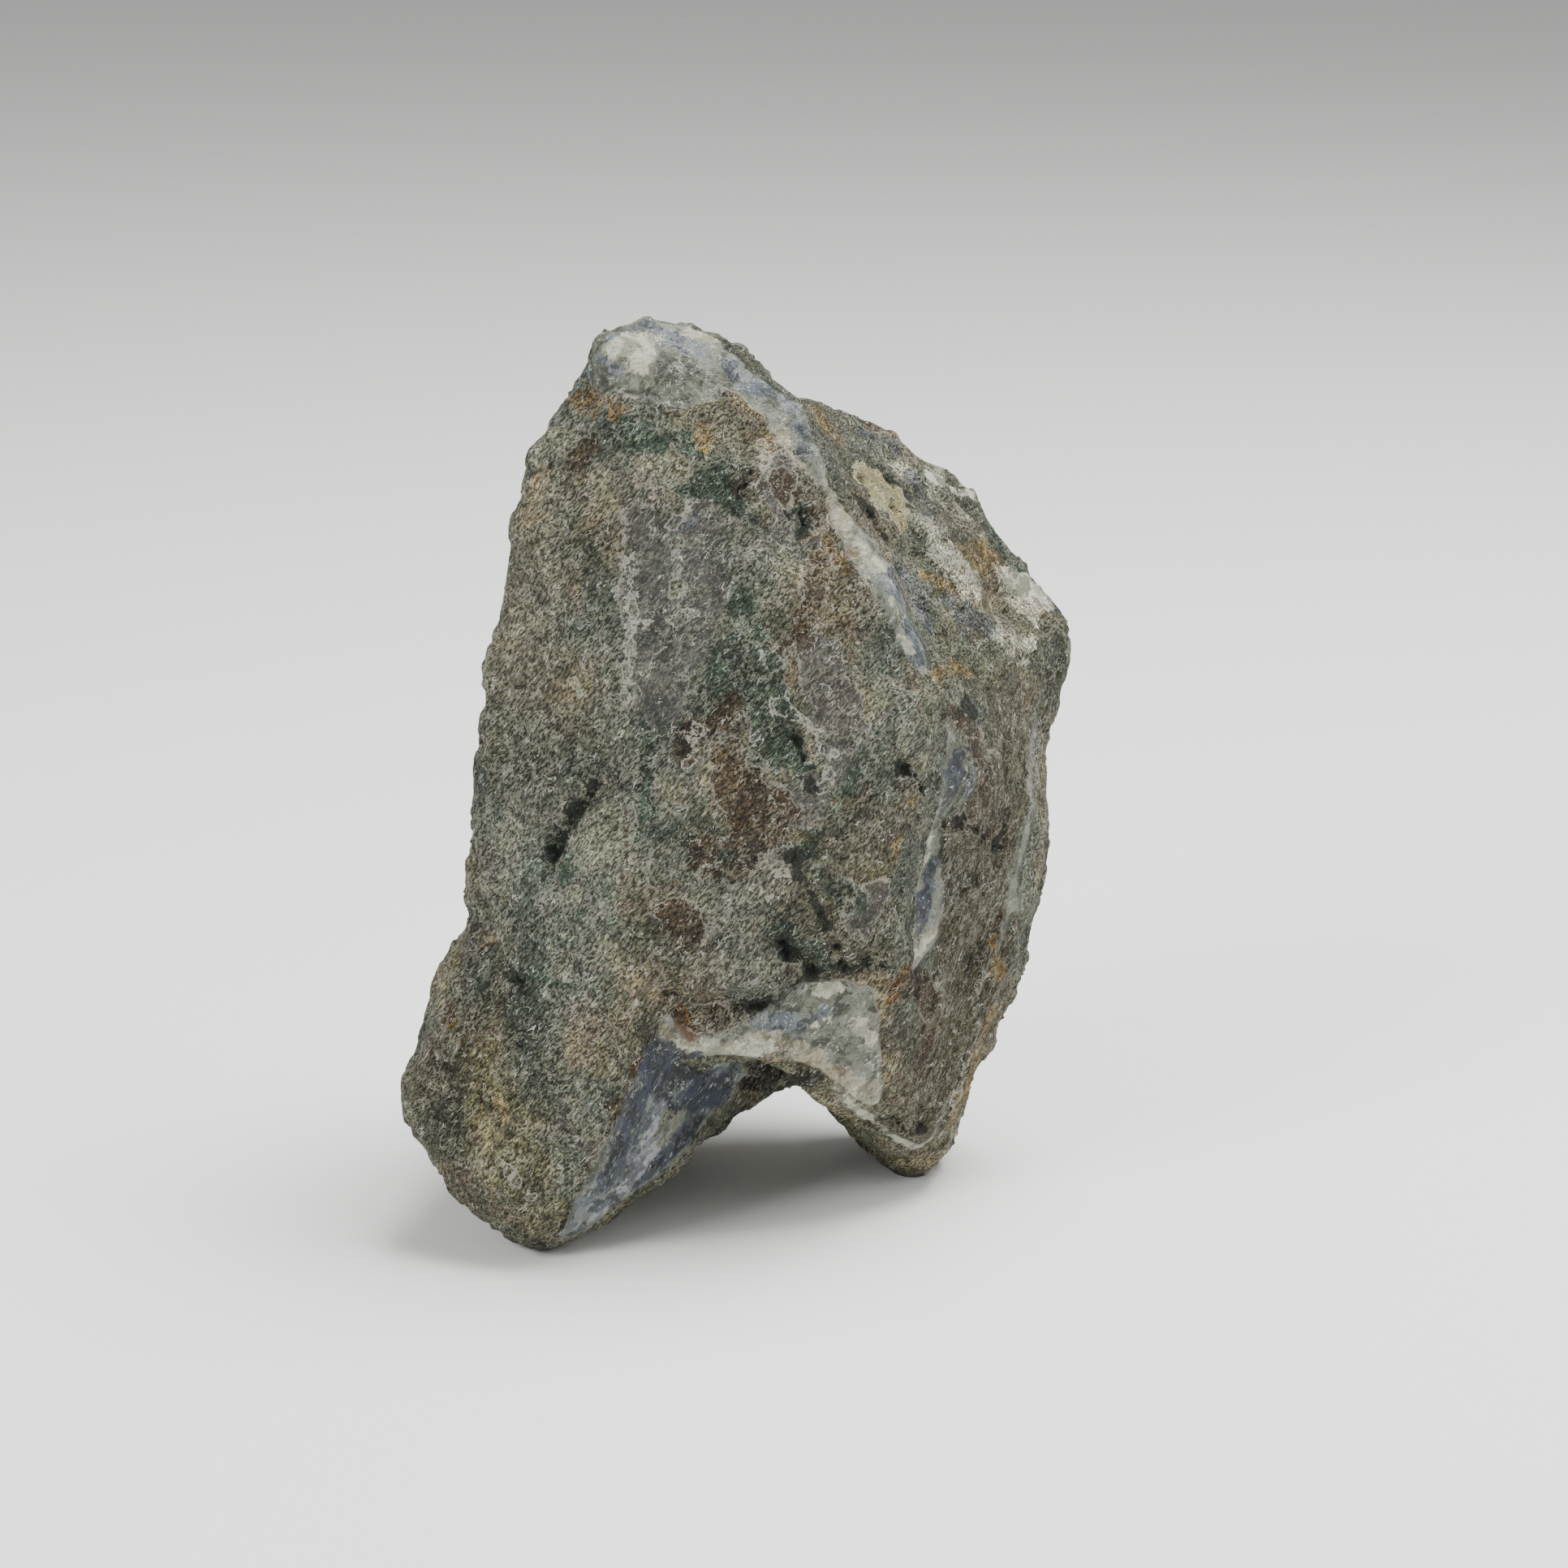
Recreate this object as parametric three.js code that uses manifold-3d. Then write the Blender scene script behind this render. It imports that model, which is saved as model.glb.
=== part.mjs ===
// Blue lace agate geode: one broken lump of grey-green volcanic rock with a vein of agate through it.
// It stands on three worn corners, with its broad broken face towards -Y and a notch between its feet.
// Millimetres, +Z up. The origin is on the ground, under the middle of the stone.
import * as THREE from "three";
import Module from "manifold-3d";
import { ConvexHull } from "three/addons/math/ConvexHull.js";
import { ImprovedNoise } from "three/addons/math/ImprovedNoise.js";
import { mergeVertices } from "three/addons/utils/BufferGeometryUtils.js";

const meshStep = 2.9; // side of the cells that the surface is traced in
const edgeWear = 0.9; // how far the edges of a mass are worn back
const fullness = 0.5; // added all round, to make up for that wear
const cutWear = 0.6; // wear of the edges of a broken-out place
const cutRoughness = 0.4; // share of the relief that a broken-out place has
const weldWidth = 5; // width of the fillet where two masses meet
const margin = 8; // room round the corners for the tracing
const ground = 0; // height of the ground

// The stone is one mass that took its form from several rough blocks. Each is given by its corners.
const masses = {
  // The front slab, from the crest down to the ledge over the notch and the face of the left foot.
  slab: [
    [-14, -10, 123.8], [-11.6, -7, 125.8], [-6, -5, 122], [-0.4, -5, 118], [5.4, -6, 118],
    [7.2, -9, 113.4], [-18.2, -11, 120.8], [-24.2, -12, 114.6], [-28, -13, 106], [-30.6, -14, 97],
    [-31, -15, 86], [-33.4, -15, 76], [-35.4, -16, 70], [-36, -16, 64], [-33, -17, 54],
    [-36.4, -17, 47], [-37, -17, 41.4], [-13, -14, 114], [-14, -20, 101], [-16, -25, 80],
    [-18, -28, 55], [-18, -29, 34], [-2, -20, 101], [4, -25, 80], [8, -28, 60], [-4, -29.5, 48],
    [-20, -30, 26], [6, -28.5, 42], [-24, -30, 10], [11.3, -12, 105.2], [15.6, -14, 98.2],
    [20, -17, 89], [24, -19, 83], [26.4, -21, 76], [27, -21, 66], [26.4, -21, 55], [23.2, -18, 41],
    [20.5, -15, 31], [19.6, -12, 17], [-33, -24, 14], [-12, 10, 112], [-24, 12, 92], [-28, 14, 60],
    [10, 10, 100], [-30, 4, 24], [-33, -4, 60], [-29, -4, 94],
  ],
  // The rear mass with the sloping shoulder, the elbow at the right and the back of the stone.
  rear: [
    [8, 8, 109.4], [14, 12, 105], [44.8, 16, 84.4], [48, 14, 77.8], [41, 8, 48.3], [40.8, 8, 40.7],
    [38.8, 8, 30.7], [37.4, 9, 24], [32, 10, 18], [11.6, -9, 103.6], [19, -13, 89], [26, -17, 76],
    [26.6, -18, 60], [25, -17, 46], [22, -14, 34], [20, -10, 22], [36.4, -5, 72], [36, -3, 60],
    [36.4, -4, 45], [32.6, -3, 30], [-10, 14, 109], [6, 26, 97], [-22, 20, 90], [28, 28, 78],
    [34, 25, 44], [10, 34, 56], [-22, 30, 58], [-32, 14, 46], [-31, 2, 70], [-30, 26, 32],
    [-8, 35, 34], [24, 31, 28], [-36, 2, 32], [0, -6, 26],
  ],
  // The knob standing off the top of the shoulder.
  knob: [
    [11, 10, 108.4], [16.4, 12, 107.4], [23.4, 14, 103], [28.4, 17, 102], [31.4, 18, 100.8],
    [32.8, 17, 92], [34, 18, 84], [13, 2, 104], [18, 4, 93], [30, 2, 81], [24, 25, 90], [31, 25, 84],
    [10, 20, 100],
  ],
  // The front left foot.
  leftFoot: [
    [-44, -20, 24.8], [-44.2, -22, 20], [-42.8, -23, 15.2], [-40.8, -24.5, 12.2], [-36.8, -26, 10],
    [-32.8, -27.5, 7.6], [-28.6, -28, 4.4], [-26, -29, -0.4], [-24, -29, -1.2], [-22, -27, 5.4],
    [-38.4, -18, 33.6], [-37.4, -17, 41.4], [-36, -27, 26], [-31, -29, 18], [-25, -30.5, 10],
    [-19, -30, 26], [-14, -29.5, 38], [-28, -28, 36], [-27.4, -19, -1.5], [-23.4, -22, 5.4],
    [-17.6, -18, 8.8], [-13.8, -12, 10], [-2.4, -2, 11], [3.4, 4, 11.6], [8.4, 8, 13.4], [-2, -20, 36],
    [4, 2, 34], [-42, -4, 18], [-38, 8, 13], [-36, 12, 34], [-18, 8, 8], [0, 14, 16], [-34, -4, 6],
  ],
  // The right foot, behind the notch.
  rightFoot: [
    [23.8, 6, -0.8], [26.6, 6, -1.5], [27, 22, -1.5], [21, 25, -1.5], [18, 16, 0.6], [29, 8, 3.4],
    [33.4, 10, 14.6], [36.4, 9, 24], [35, 22, 22], [24, 31, 24], [15.4, 9, 5.4], [9.8, 8, 14],
    [14.6, -14.2, 17], [19.2, -12, 14.6], [23, -9.6, 11.4], [25.6, -7.4, 9.6], [29, -4, 9],
    [9, -18, 26], [20.5, -15, 32], [34, 4, 32], [8, 20, 20],
  ],
  // The rear foot, hidden behind the front left one.
  rearFoot: [
    [-32, 20, -1.5], [-24, 28, -1.5], [-16, 26, -1.5], [-20, 16, -1.5], [-37, 10, 12], [-34, 8, 6],
    [-16, 8, 6], [-34, 28, 16], [-28, 34, 22], [-6, 33, 18], [0, 16, 15], [-37, 6, 32], [-22, 34, 42],
    [4, 33, 36], [6, 14, 28],
  ],
};

// Broken-out places. Each plane passes through a place and points away from the hole, into the stone.
const cuts = {
  // The notch between the feet: agate wall on the left, bevel on the right, lip overhead.
  notch: [
    { at: [-10, -28, 32.4], away: [-0.764, 0.573, 0.298] },
    { at: [9.3, 8, 14.6], away: [0.8, 0.18, 0.52] },
    { at: [-8.1, -24, 29.4], away: [0.13, 0.25, 0.96] },
  ],
  // The hollow under the left foot, on the side of the notch.
  underFoot: [
    { at: [-11.2, -12, 6.3], away: [-0.557, 0.216, 0.803] },
    { at: [9.3, 8, 14.6], away: [0.8, 0.18, 0.52] },
  ],
  // The bare agate face above the lip, set back under the ledge of host rock.
  agateFace: [
    { at: [-8.1, -24, 29], away: [-0.2, 0.93, 0.31] },
    { at: [0, -28, 37.6], away: [-0.15, 0.1, 1] },
    { at: [20.4, -20, 30], away: [0.95, 0.2, 0] },
    { at: [-12, -26, 33], away: [-0.9, 0.3, -0.2] },
  ],
};

// Lines along which the surface sinks, or stands proud where the depth is below zero.
const seams = {
  elbowHollow: { width: 8, depth: 1.2, path: [[45, 18, 63], [42, -4, 60]] },
  shoulderHollow: { width: 5, depth: 1.2, path: [[35.4, 20, 91.5], [37.6, 6, 86]] },
  upperHollow: { width: 7, depth: 0.7, path: [[-32, -20, 84], [-32, 0, 84]] },
  lowerHollow: { width: 6, depth: 0.8, path: [[-35, -20, 56], [-35, 0, 55]] },
  crestVein: {
    width: 3.4,
    depth: -1,
    path: [[2, -8, 119], [9, -11, 111], [12, -14, 103], [16, -16, 97], [21, -19, 88]],
  },
  crestGroove: {
    width: 2.6,
    depth: 1,
    path: [[12.8, -7, 105.6], [18, -8.6, 97.6], [23, -12, 87.4], [28.4, -11.6, 78.4]],
  },
  shoulderLedge: {
    width: 3,
    depth: -0.9,
    path: [[16.8, 2, 104.2], [23.6, 0.2, 96.8], [30, -0.4, 87.6], [36, -1.4, 78.8]],
  },
  shoulderGroove: { width: 2.6, depth: 1, path: [[20.2, 5.2, 101.6], [28.4, 4.2, 92.4], [36.4, 6, 83]] },
  sideVein: { width: 3, depth: 1, path: [[27.6, -16.4, 66], [26.4, -15.8, 57], [24.6, -15.4, 43]] },
  rimVein: {
    width: 2.6,
    depth: -0.8,
    path: [[40.2, 2, 65], [39.2, 1, 48], [34.8, -0.6, 32], [28, -1.4, 10.6]],
  },
  faceCrack: { width: 2, depth: 1.6, path: [[-17.4, -24.8, 70], [-20.2, -25.2, 64], [-23.2, -24.6, 58]] },
  grainHole: { width: 3, depth: 2.6, path: [[-22.8, -24.6, 59.5], [-24.2, -24, 56.5]] },
  streakLedge: { width: 2.6, depth: -0.9, path: [[3.6, -24.5, 80], [7.6, -25.2, 71], [11.6, -26, 63]] },
  streakGroove: { width: 2.4, depth: 1.1, path: [[1, -25, 78], [4, -25.2, 70], [8.6, -26, 62]] },
  paleStep: { width: 2.6, depth: 0.9, path: [[-14.6, -20.8, 94], [-14, -23, 83], [-17, -24.6, 71]] },
  rustStep: {
    width: 2.6,
    depth: 0.8,
    path: [[-19, -12.8, 115], [-10, -15, 113.4], [-3, -15.3, 111.6], [3, -14.5, 109.8]],
  },
  leftHole: { width: 2.2, depth: 2.2, path: [[5.2, -27.6, 44], [7.2, -27.2, 43]] },
  rightHole: { width: 2.2, depth: 2.2, path: [[9.6, -26, 41.8], [11, -25.4, 40.8]] },
  ledgeCrack: {
    width: 2.2,
    depth: 1.4,
    path: [
      [-9.6, -27, 36.4], [-5.4, -26, 35.6], [0.4, -25.6, 36.4],
      [5.6, -25.2, 38], [10, -24, 39.6], [19.4, -20.4, 39.6],
    ],
  },
  lip: {
    width: 2.8,
    depth: -1.2,
    path: [
      [-10.4, -26.8, 31.6], [-7.4, -25.2, 29.4], [-2, -23.6, 28.2], [4, -21.8, 27.4],
      [8.6, -18.6, 24.6], [11, -15.6, 21.4], [14.6, -13.4, 18.4],
    ],
  },
};

// Relief of the broken surface: swells and lumps, and flakes that end in a small step.
const lumps = [
  { size: 24, height: 1.2, layer: 3.7 },
  { size: 11, height: 0.8, layer: 17.1 },
  { size: 6, height: 0.45, layer: 31.9 },
];
const flakes = { size: 15, height: 0.7, layer: 51.3, sharpness: 9 };

const vector = (place) => new THREE.Vector3(...place);

const noiseSource = new ImprovedNoise();
const grain = (p, { size, layer }) => noiseSource.noise(p.x / size + layer, p.y / size, p.z / size);

function reliefAt(p) {
  const swell = lumps.reduce((sum, lump) => sum + lump.height * grain(p, lump), 0);
  return swell + flakes.height * Math.tanh(flakes.sharpness * grain(p, flakes));
}

// The largest of the values, rounded over where two are nearly alike.
function wornMax(values, wear) {
  const top = Math.max(...values);
  return top + wear * Math.log(values.reduce((sum, v) => sum + Math.exp((v - top) / wear), 0));
}

// The smaller of two values, with a fillet of the given width.
function weldedMin(a, b, width) {
  const share = Math.max(width - Math.abs(a - b), 0) / width;
  return Math.min(a, b) - (share * share * width) / 4;
}

// The face planes of a block. Hull triangles that lie in one plane count once.
function facesOf(corners) {
  const sameDirection = 0.998;
  const sameDepth = 0.4;
  const faces = [];
  for (const { normal, constant } of new ConvexHull().setFromPoints(corners.map(vector)).faces) {
    const isKnown = faces.some(
      (face) => face.normal.dot(normal) > sameDirection && Math.abs(face.constant - constant) < sameDepth,
    );
    if (!isKnown) faces.push({ normal, constant });
  }
  return faces;
}

function planeOf({ at, away }) {
  const normal = vector(away).normalize();
  return { normal, constant: normal.dot(vector(at)) };
}

const massFaces = Object.values(masses).map(facesOf);
const cutFaces = Object.values(cuts).map((planes) => planes.map(planeOf));
const seamLines = Object.values(seams).map(({ width, depth, path }) => ({
  width,
  depth,
  parts: path.slice(1).map((to, i) => new THREE.Line3(vector(path[i]), vector(to))),
}));

const depthIn = (p, faces, wear) => wornMax(faces.map((f) => f.normal.dot(p) - f.constant), wear);

// How far the seams sink the surface at a place.
function seamAt(p) {
  const nearest = new THREE.Vector3();
  let sunk = 0;
  for (const { width, depth, parts } of seamLines) {
    const gaps = parts.map((part) => part.closestPointToPoint(p, true, nearest).distanceTo(p));
    sunk += depth * Math.exp(-((Math.min(...gaps) / width) ** 2));
  }
  return sunk;
}

// Distance from the surface of the stone, below zero inside it.
function stoneAt(p) {
  const depths = massFaces.map((faces) => depthIn(p, faces, edgeWear));
  let d = depths.reduce((a, b) => weldedMin(a, b, weldWidth));
  if (Math.abs(d) > margin) return d;
  const relief = reliefAt(p);
  d -= fullness + relief;
  for (const faces of cutFaces) {
    const outsideCut = -depthIn(p, faces, cutWear) - cutRoughness * relief;
    d = wornMax([d, outsideCut], cutWear);
  }
  return d + seamAt(p);
}

// A box of cubic cells, with the value of a field at each of their corners.
class FieldGrid {
  constructor(field, box, step) {
    this.step = step;
    this.low = box.min;
    this.count = box.getSize(new THREE.Vector3()).toArray().map((side) => Math.ceil(side / step) + 1);
    this.axes = [[1, 0, 0], [0, 1, 0], [0, 0, 1]];
    this.value = new Float32Array(this.count[0] * this.count[1] * this.count[2]);
    this.each(0, 0, (at) => (this.value[this.index(at)] = field(this.place(at))));
  }

  index([i, j, k]) {
    return i + this.count[0] * (j + this.count[1] * k);
  }

  place([i, j, k]) {
    return new THREE.Vector3(i, j, k).multiplyScalar(this.step).add(this.low);
  }

  isInside(at) {
    return this.value[this.index(at)] < 0;
  }

  // Calls visit for each corner, or for all but the first and last few along each axis.
  each(skipFirst, skipLast, visit) {
    const [ni, nj, nk] = this.count.map((n) => n - skipLast);
    for (let k = skipFirst; k < nk; k++)
      for (let j = skipFirst; j < nj; j++) for (let i = skipFirst; i < ni; i++) visit([i, j, k]);
  }
}

const moved = (at, a, m, b, n) => at.map((value, i) => value + m * a[i] + n * b[i]);

// A square of four corners where only two opposite ones are inside would pinch the surface,
// so the emptier places are filled in until there are none.
function fillPinches(grid) {
  const leastFill = 0.01;
  let wasPinched = true;
  while (wasPinched) {
    wasPinched = false;
    grid.each(0, 1, (at) => {
      grid.axes.forEach((u, axis) => {
        const v = grid.axes[(axis + 1) % 3];
        const ring = [at, moved(at, u, 1, v, 0), moved(at, u, 1, v, 1), moved(at, u, 0, v, 1)];
        const inside = ring.map((corner) => grid.isInside(corner));
        if (inside[0] !== inside[2] || inside[1] !== inside[3] || inside[0] === inside[1]) return;
        const empty = ring.map((corner) => grid.index(corner)).filter((n) => grid.value[n] >= 0);
        const weaker = grid.value[empty[0]] < grid.value[empty[1]] ? empty[0] : empty[1];
        grid.value[weaker] = -Math.max(grid.value[weaker], leastFill);
        wasPinched = true;
      });
    });
  }
}

// One point in each cell that the surface crosses, at the mean of its crossings of the cell's edges.
function cellPoints(grid) {
  const corners = [0, 1, 2, 3, 4, 5, 6, 7].map((c) => [c & 1, (c >> 1) & 1, (c >> 2) & 1]);
  const edges = [];
  for (let a = 0; a < 8; a++) for (const bit of [1, 2, 4]) if (!(a & bit)) edges.push([a, a | bit]);

  const points = [];
  const pointOf = new Int32Array(grid.value.length).fill(-1);
  grid.each(0, 1, (at) => {
    const values = corners.map(([x, y, z]) => grid.value[grid.index([at[0] + x, at[1] + y, at[2] + z])]);
    const crossed = edges.filter(([a, b]) => values[a] < 0 !== values[b] < 0);
    if (!crossed.length) return;
    const mean = new THREE.Vector3();
    for (const [a, b] of crossed)
      mean.add(vector(corners[a]).lerp(vector(corners[b]), values[a] / (values[a] - values[b])));
    pointOf[grid.index(at)] = points.length;
    points.push(mean.multiplyScalar(grid.step / crossed.length).add(grid.place(at)));
  });
  return { points, pointOf };
}

// A closed mesh of the zero level of a field, with two triangles across each grid edge that it crosses.
function surfaceNet(field, box, step) {
  const grid = new FieldGrid(field, box, step);
  fillPinches(grid);
  const { points, pointOf } = cellPoints(grid);
  const triangles = [];
  grid.each(1, 1, (at) => {
    grid.axes.forEach((along, axis) => {
      const isInside = grid.isInside(at);
      if (isInside === grid.isInside(moved(at, along, 1, along, 0))) return;
      const u = grid.axes[(axis + 1) % 3];
      const v = grid.axes[(axis + 2) % 3];
      const cell = (s, t) => pointOf[grid.index(moved(at, u, -s, v, -t))];
      let [a, b, c, d] = [cell(1, 1), cell(0, 1), cell(0, 0), cell(1, 0)];
      if (!isInside) [b, d] = [d, b];
      const isShorter = points[a].distanceTo(points[c]) <= points[b].distanceTo(points[d]);
      triangles.push(...(isShorter ? [a, b, c, a, c, d] : [b, c, d, b, d, a]));
    });
  });
  const positions = points.flatMap((p) => p.toArray());
  return { positions: new Float32Array(positions), triangles: new Uint32Array(triangles) };
}

const wasm = await Module();
wasm.setup();

function asSolid(positions, triangles) {
  return new wasm.Manifold(new wasm.Mesh({ numProp: 3, vertProperties: positions, triVerts: triangles }));
}

// Everything below the ground is cut off, which leaves the small flats that the stone stands on.
function standingOnGround(solid, size) {
  const box = new THREE.BoxGeometry(size, size, size).translate(0, 0, ground - size / 2);
  box.deleteAttribute("normal");
  box.deleteAttribute("uv");
  const merged = mergeVertices(box);
  return solid.subtract(asSolid(merged.attributes.position.array, new Uint32Array(merged.index.array)));
}

function stoneGeometry() {
  const box = new THREE.Box3().setFromPoints(Object.values(masses).flat().map(vector)).expandByScalar(margin);
  const net = surfaceNet(stoneAt, box, meshStep);
  const size = box.getSize(new THREE.Vector3()).length();
  const mesh = standingOnGround(asSolid(net.positions, net.triangles), size).getMesh();
  const geometry = new THREE.BufferGeometry();
  geometry.setAttribute("position", new THREE.BufferAttribute(mesh.vertProperties, 3));
  geometry.setIndex(new THREE.BufferAttribute(mesh.triVerts, 1));
  geometry.computeVertexNormals();

  // The origin goes under the middle of the stone.
  geometry.computeBoundingBox();
  const middle = geometry.boundingBox.getCenter(new THREE.Vector3());
  return geometry.translate(-middle.x, -middle.y, 0);
}

const hostRock = new THREE.MeshStandardMaterial({ color: 0x6e6c5f, roughness: 0.82, metalness: 0 });
const geode = new THREE.Mesh(stoneGeometry(), hostRock);
geode.name = "geode";

const stone = new THREE.Group();
stone.add(geode);
export default stone;
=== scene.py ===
import bpy
import bmesh
import functools
import math
import time
import numpy as np
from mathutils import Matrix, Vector
from mathutils.bvhtree import BVHTree


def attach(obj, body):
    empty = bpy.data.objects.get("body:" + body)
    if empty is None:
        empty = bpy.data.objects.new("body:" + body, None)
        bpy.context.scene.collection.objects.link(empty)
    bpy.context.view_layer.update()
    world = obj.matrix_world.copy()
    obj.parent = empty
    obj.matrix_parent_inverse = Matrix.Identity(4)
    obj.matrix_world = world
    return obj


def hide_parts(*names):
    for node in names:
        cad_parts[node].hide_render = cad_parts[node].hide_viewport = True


started = time.time()
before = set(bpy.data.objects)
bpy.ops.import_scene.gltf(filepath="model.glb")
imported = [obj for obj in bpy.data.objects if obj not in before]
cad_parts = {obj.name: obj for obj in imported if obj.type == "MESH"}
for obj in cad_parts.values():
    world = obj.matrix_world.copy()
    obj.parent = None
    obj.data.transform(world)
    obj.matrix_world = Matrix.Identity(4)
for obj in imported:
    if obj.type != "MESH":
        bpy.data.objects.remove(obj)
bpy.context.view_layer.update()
mm = 0.001


def report(stage):
    print(f"{stage}: {time.time() - started:.1f} s")


def linearFrom(hexColour):
    # sRGB hex such as "6e6c5f" to linear red, green, blue, alpha
    parts = [int(hexColour[i:i + 2], 16) / 255 for i in (0, 2, 4)]
    return [p / 12.92 if p <= 0.04045 else ((p + 0.055) / 1.055) ** 2.4 for p in parts] + [1.0]


# the camera looks at the stone's front from a little above
cameraSettings = {
    "target": (5.90, -2.47, 59.0),  # mm
    "elevation": 15,                # degrees above level
    "distance": 600,                # mm
    "sensor": 36,                   # mm
    "sheetStep": 0.11,              # mm at the target for each of the sheet's steps
    "sheetSize": 1932,              # steps across and down
}


def eyeAt(azimuth, elevation):
    # where an eye at that angle stands, and its right, up and forward directions
    a, e = math.radians(azimuth), math.radians(elevation)
    back = Vector((math.sin(a) * math.cos(e), -math.cos(a) * math.cos(e), math.sin(e)))
    right = Vector((math.cos(a), math.sin(a), 0))
    up = back.cross(right)
    target = Vector(cameraSettings["target"]) * mm
    return target + back * cameraSettings["distance"] * mm, right, up, -back


def makeCamera():
    s = cameraSettings
    place, right, up, forward = eyeAt(0, s["elevation"])
    camera = bpy.data.objects.new("camera", bpy.data.cameras.new("camera"))
    camera.data.sensor_width = s["sensor"]
    camera.data.lens = s["sensor"] * s["distance"] / (s["sheetStep"] * s["sheetSize"])
    camera.location = place
    camera.rotation_euler = forward.to_track_quat("-Z", "Y").to_euler()
    bpy.context.scene.collection.objects.link(camera)
    bpy.context.scene.camera = camera


makeCamera()


# the stone's body: the frame's solid, remeshed finely and eased so that its facets go
bodySettings = {
    "mergeWithin": 0.01,  # mm
    "meshSize": 0.68,     # mm between vertices
    "easing": 3,          # rounds of smoothing, each a shrinking and a swelling step
    "shrink": 0.55,       # share of the way towards the middle of a vertex's neighbours
    "swell": -0.53,       # and back out, so that the size stays
    "footHeight": 0.25,   # mm: what lies lower than this belongs to a flat that the stone rests on
}


def plainMesh(thing, name):
    # the evaluated mesh of an object, on a new object without modifiers
    graph = bpy.context.evaluated_depsgraph_get()
    made = bpy.data.objects.new(name, bpy.data.meshes.new_from_object(thing.evaluated_get(graph)))
    made.data.name = name
    bpy.context.scene.collection.objects.link(made)
    bpy.data.objects.remove(thing)
    return made


def rowsOf(items, field):
    # x, y and z of every vertex: its place is the field "co" and its normal is "vector"
    flat = np.empty(len(items) * 3, np.float32)
    items.foreach_get(field, flat)
    return flat.reshape(-1, 3).astype(float)


def moveVertices(mesh, points):
    mesh.vertices.foreach_set("co", points.astype(np.float32).ravel())
    mesh.update()


def ease(points, edges):
    # alternate shrinking and swelling steps, which take out facets and keep the size
    s = bodySettings
    count = np.zeros(len(points))
    np.add.at(count, edges.ravel(), 1)
    for share in [s["shrink"], s["swell"]] * s["easing"]:
        total = np.zeros_like(points)
        np.add.at(total, edges[:, 0], points[edges[:, 1]])
        np.add.at(total, edges[:, 1], points[edges[:, 0]])
        points = points + (total / count[:, None] - points) * share
    return points


def makeBody():
    s = bodySettings
    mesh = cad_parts["geode"].data.copy()
    mesh.materials.clear()
    work = bmesh.new()
    work.from_mesh(mesh)
    bmesh.ops.remove_doubles(work, verts=work.verts, dist=s["mergeWithin"] * mm)
    work.to_mesh(mesh)
    work.free()
    rough = bpy.data.objects.new("rough", mesh)
    bpy.context.scene.collection.objects.link(rough)
    remesh = rough.modifiers.new("remesh", "REMESH")
    remesh.mode = "VOXEL"
    remesh.voxel_size = s["meshSize"] * mm
    body = plainMesh(rough, "stone")
    points = rowsOf(body.data.vertices, "co")
    feet = points[:, 2] < s["footHeight"] * mm
    edges = np.empty(len(body.data.edges) * 2, np.int32)
    body.data.edges.foreach_get("vertices", edges)
    points = ease(points, edges.reshape(-1, 2))
    points[:, 2] = np.maximum(points[:, 2], 0)
    points[feet, 2] = 0
    moveVertices(body.data, points)
    return body


body = makeBody()
report(f"body, {len(body.data.polygons)} faces")


notchWall = {"facing": (0.76, -0.57, -0.3), "least": 0.3}  # the way that the notch's wall looks

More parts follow.
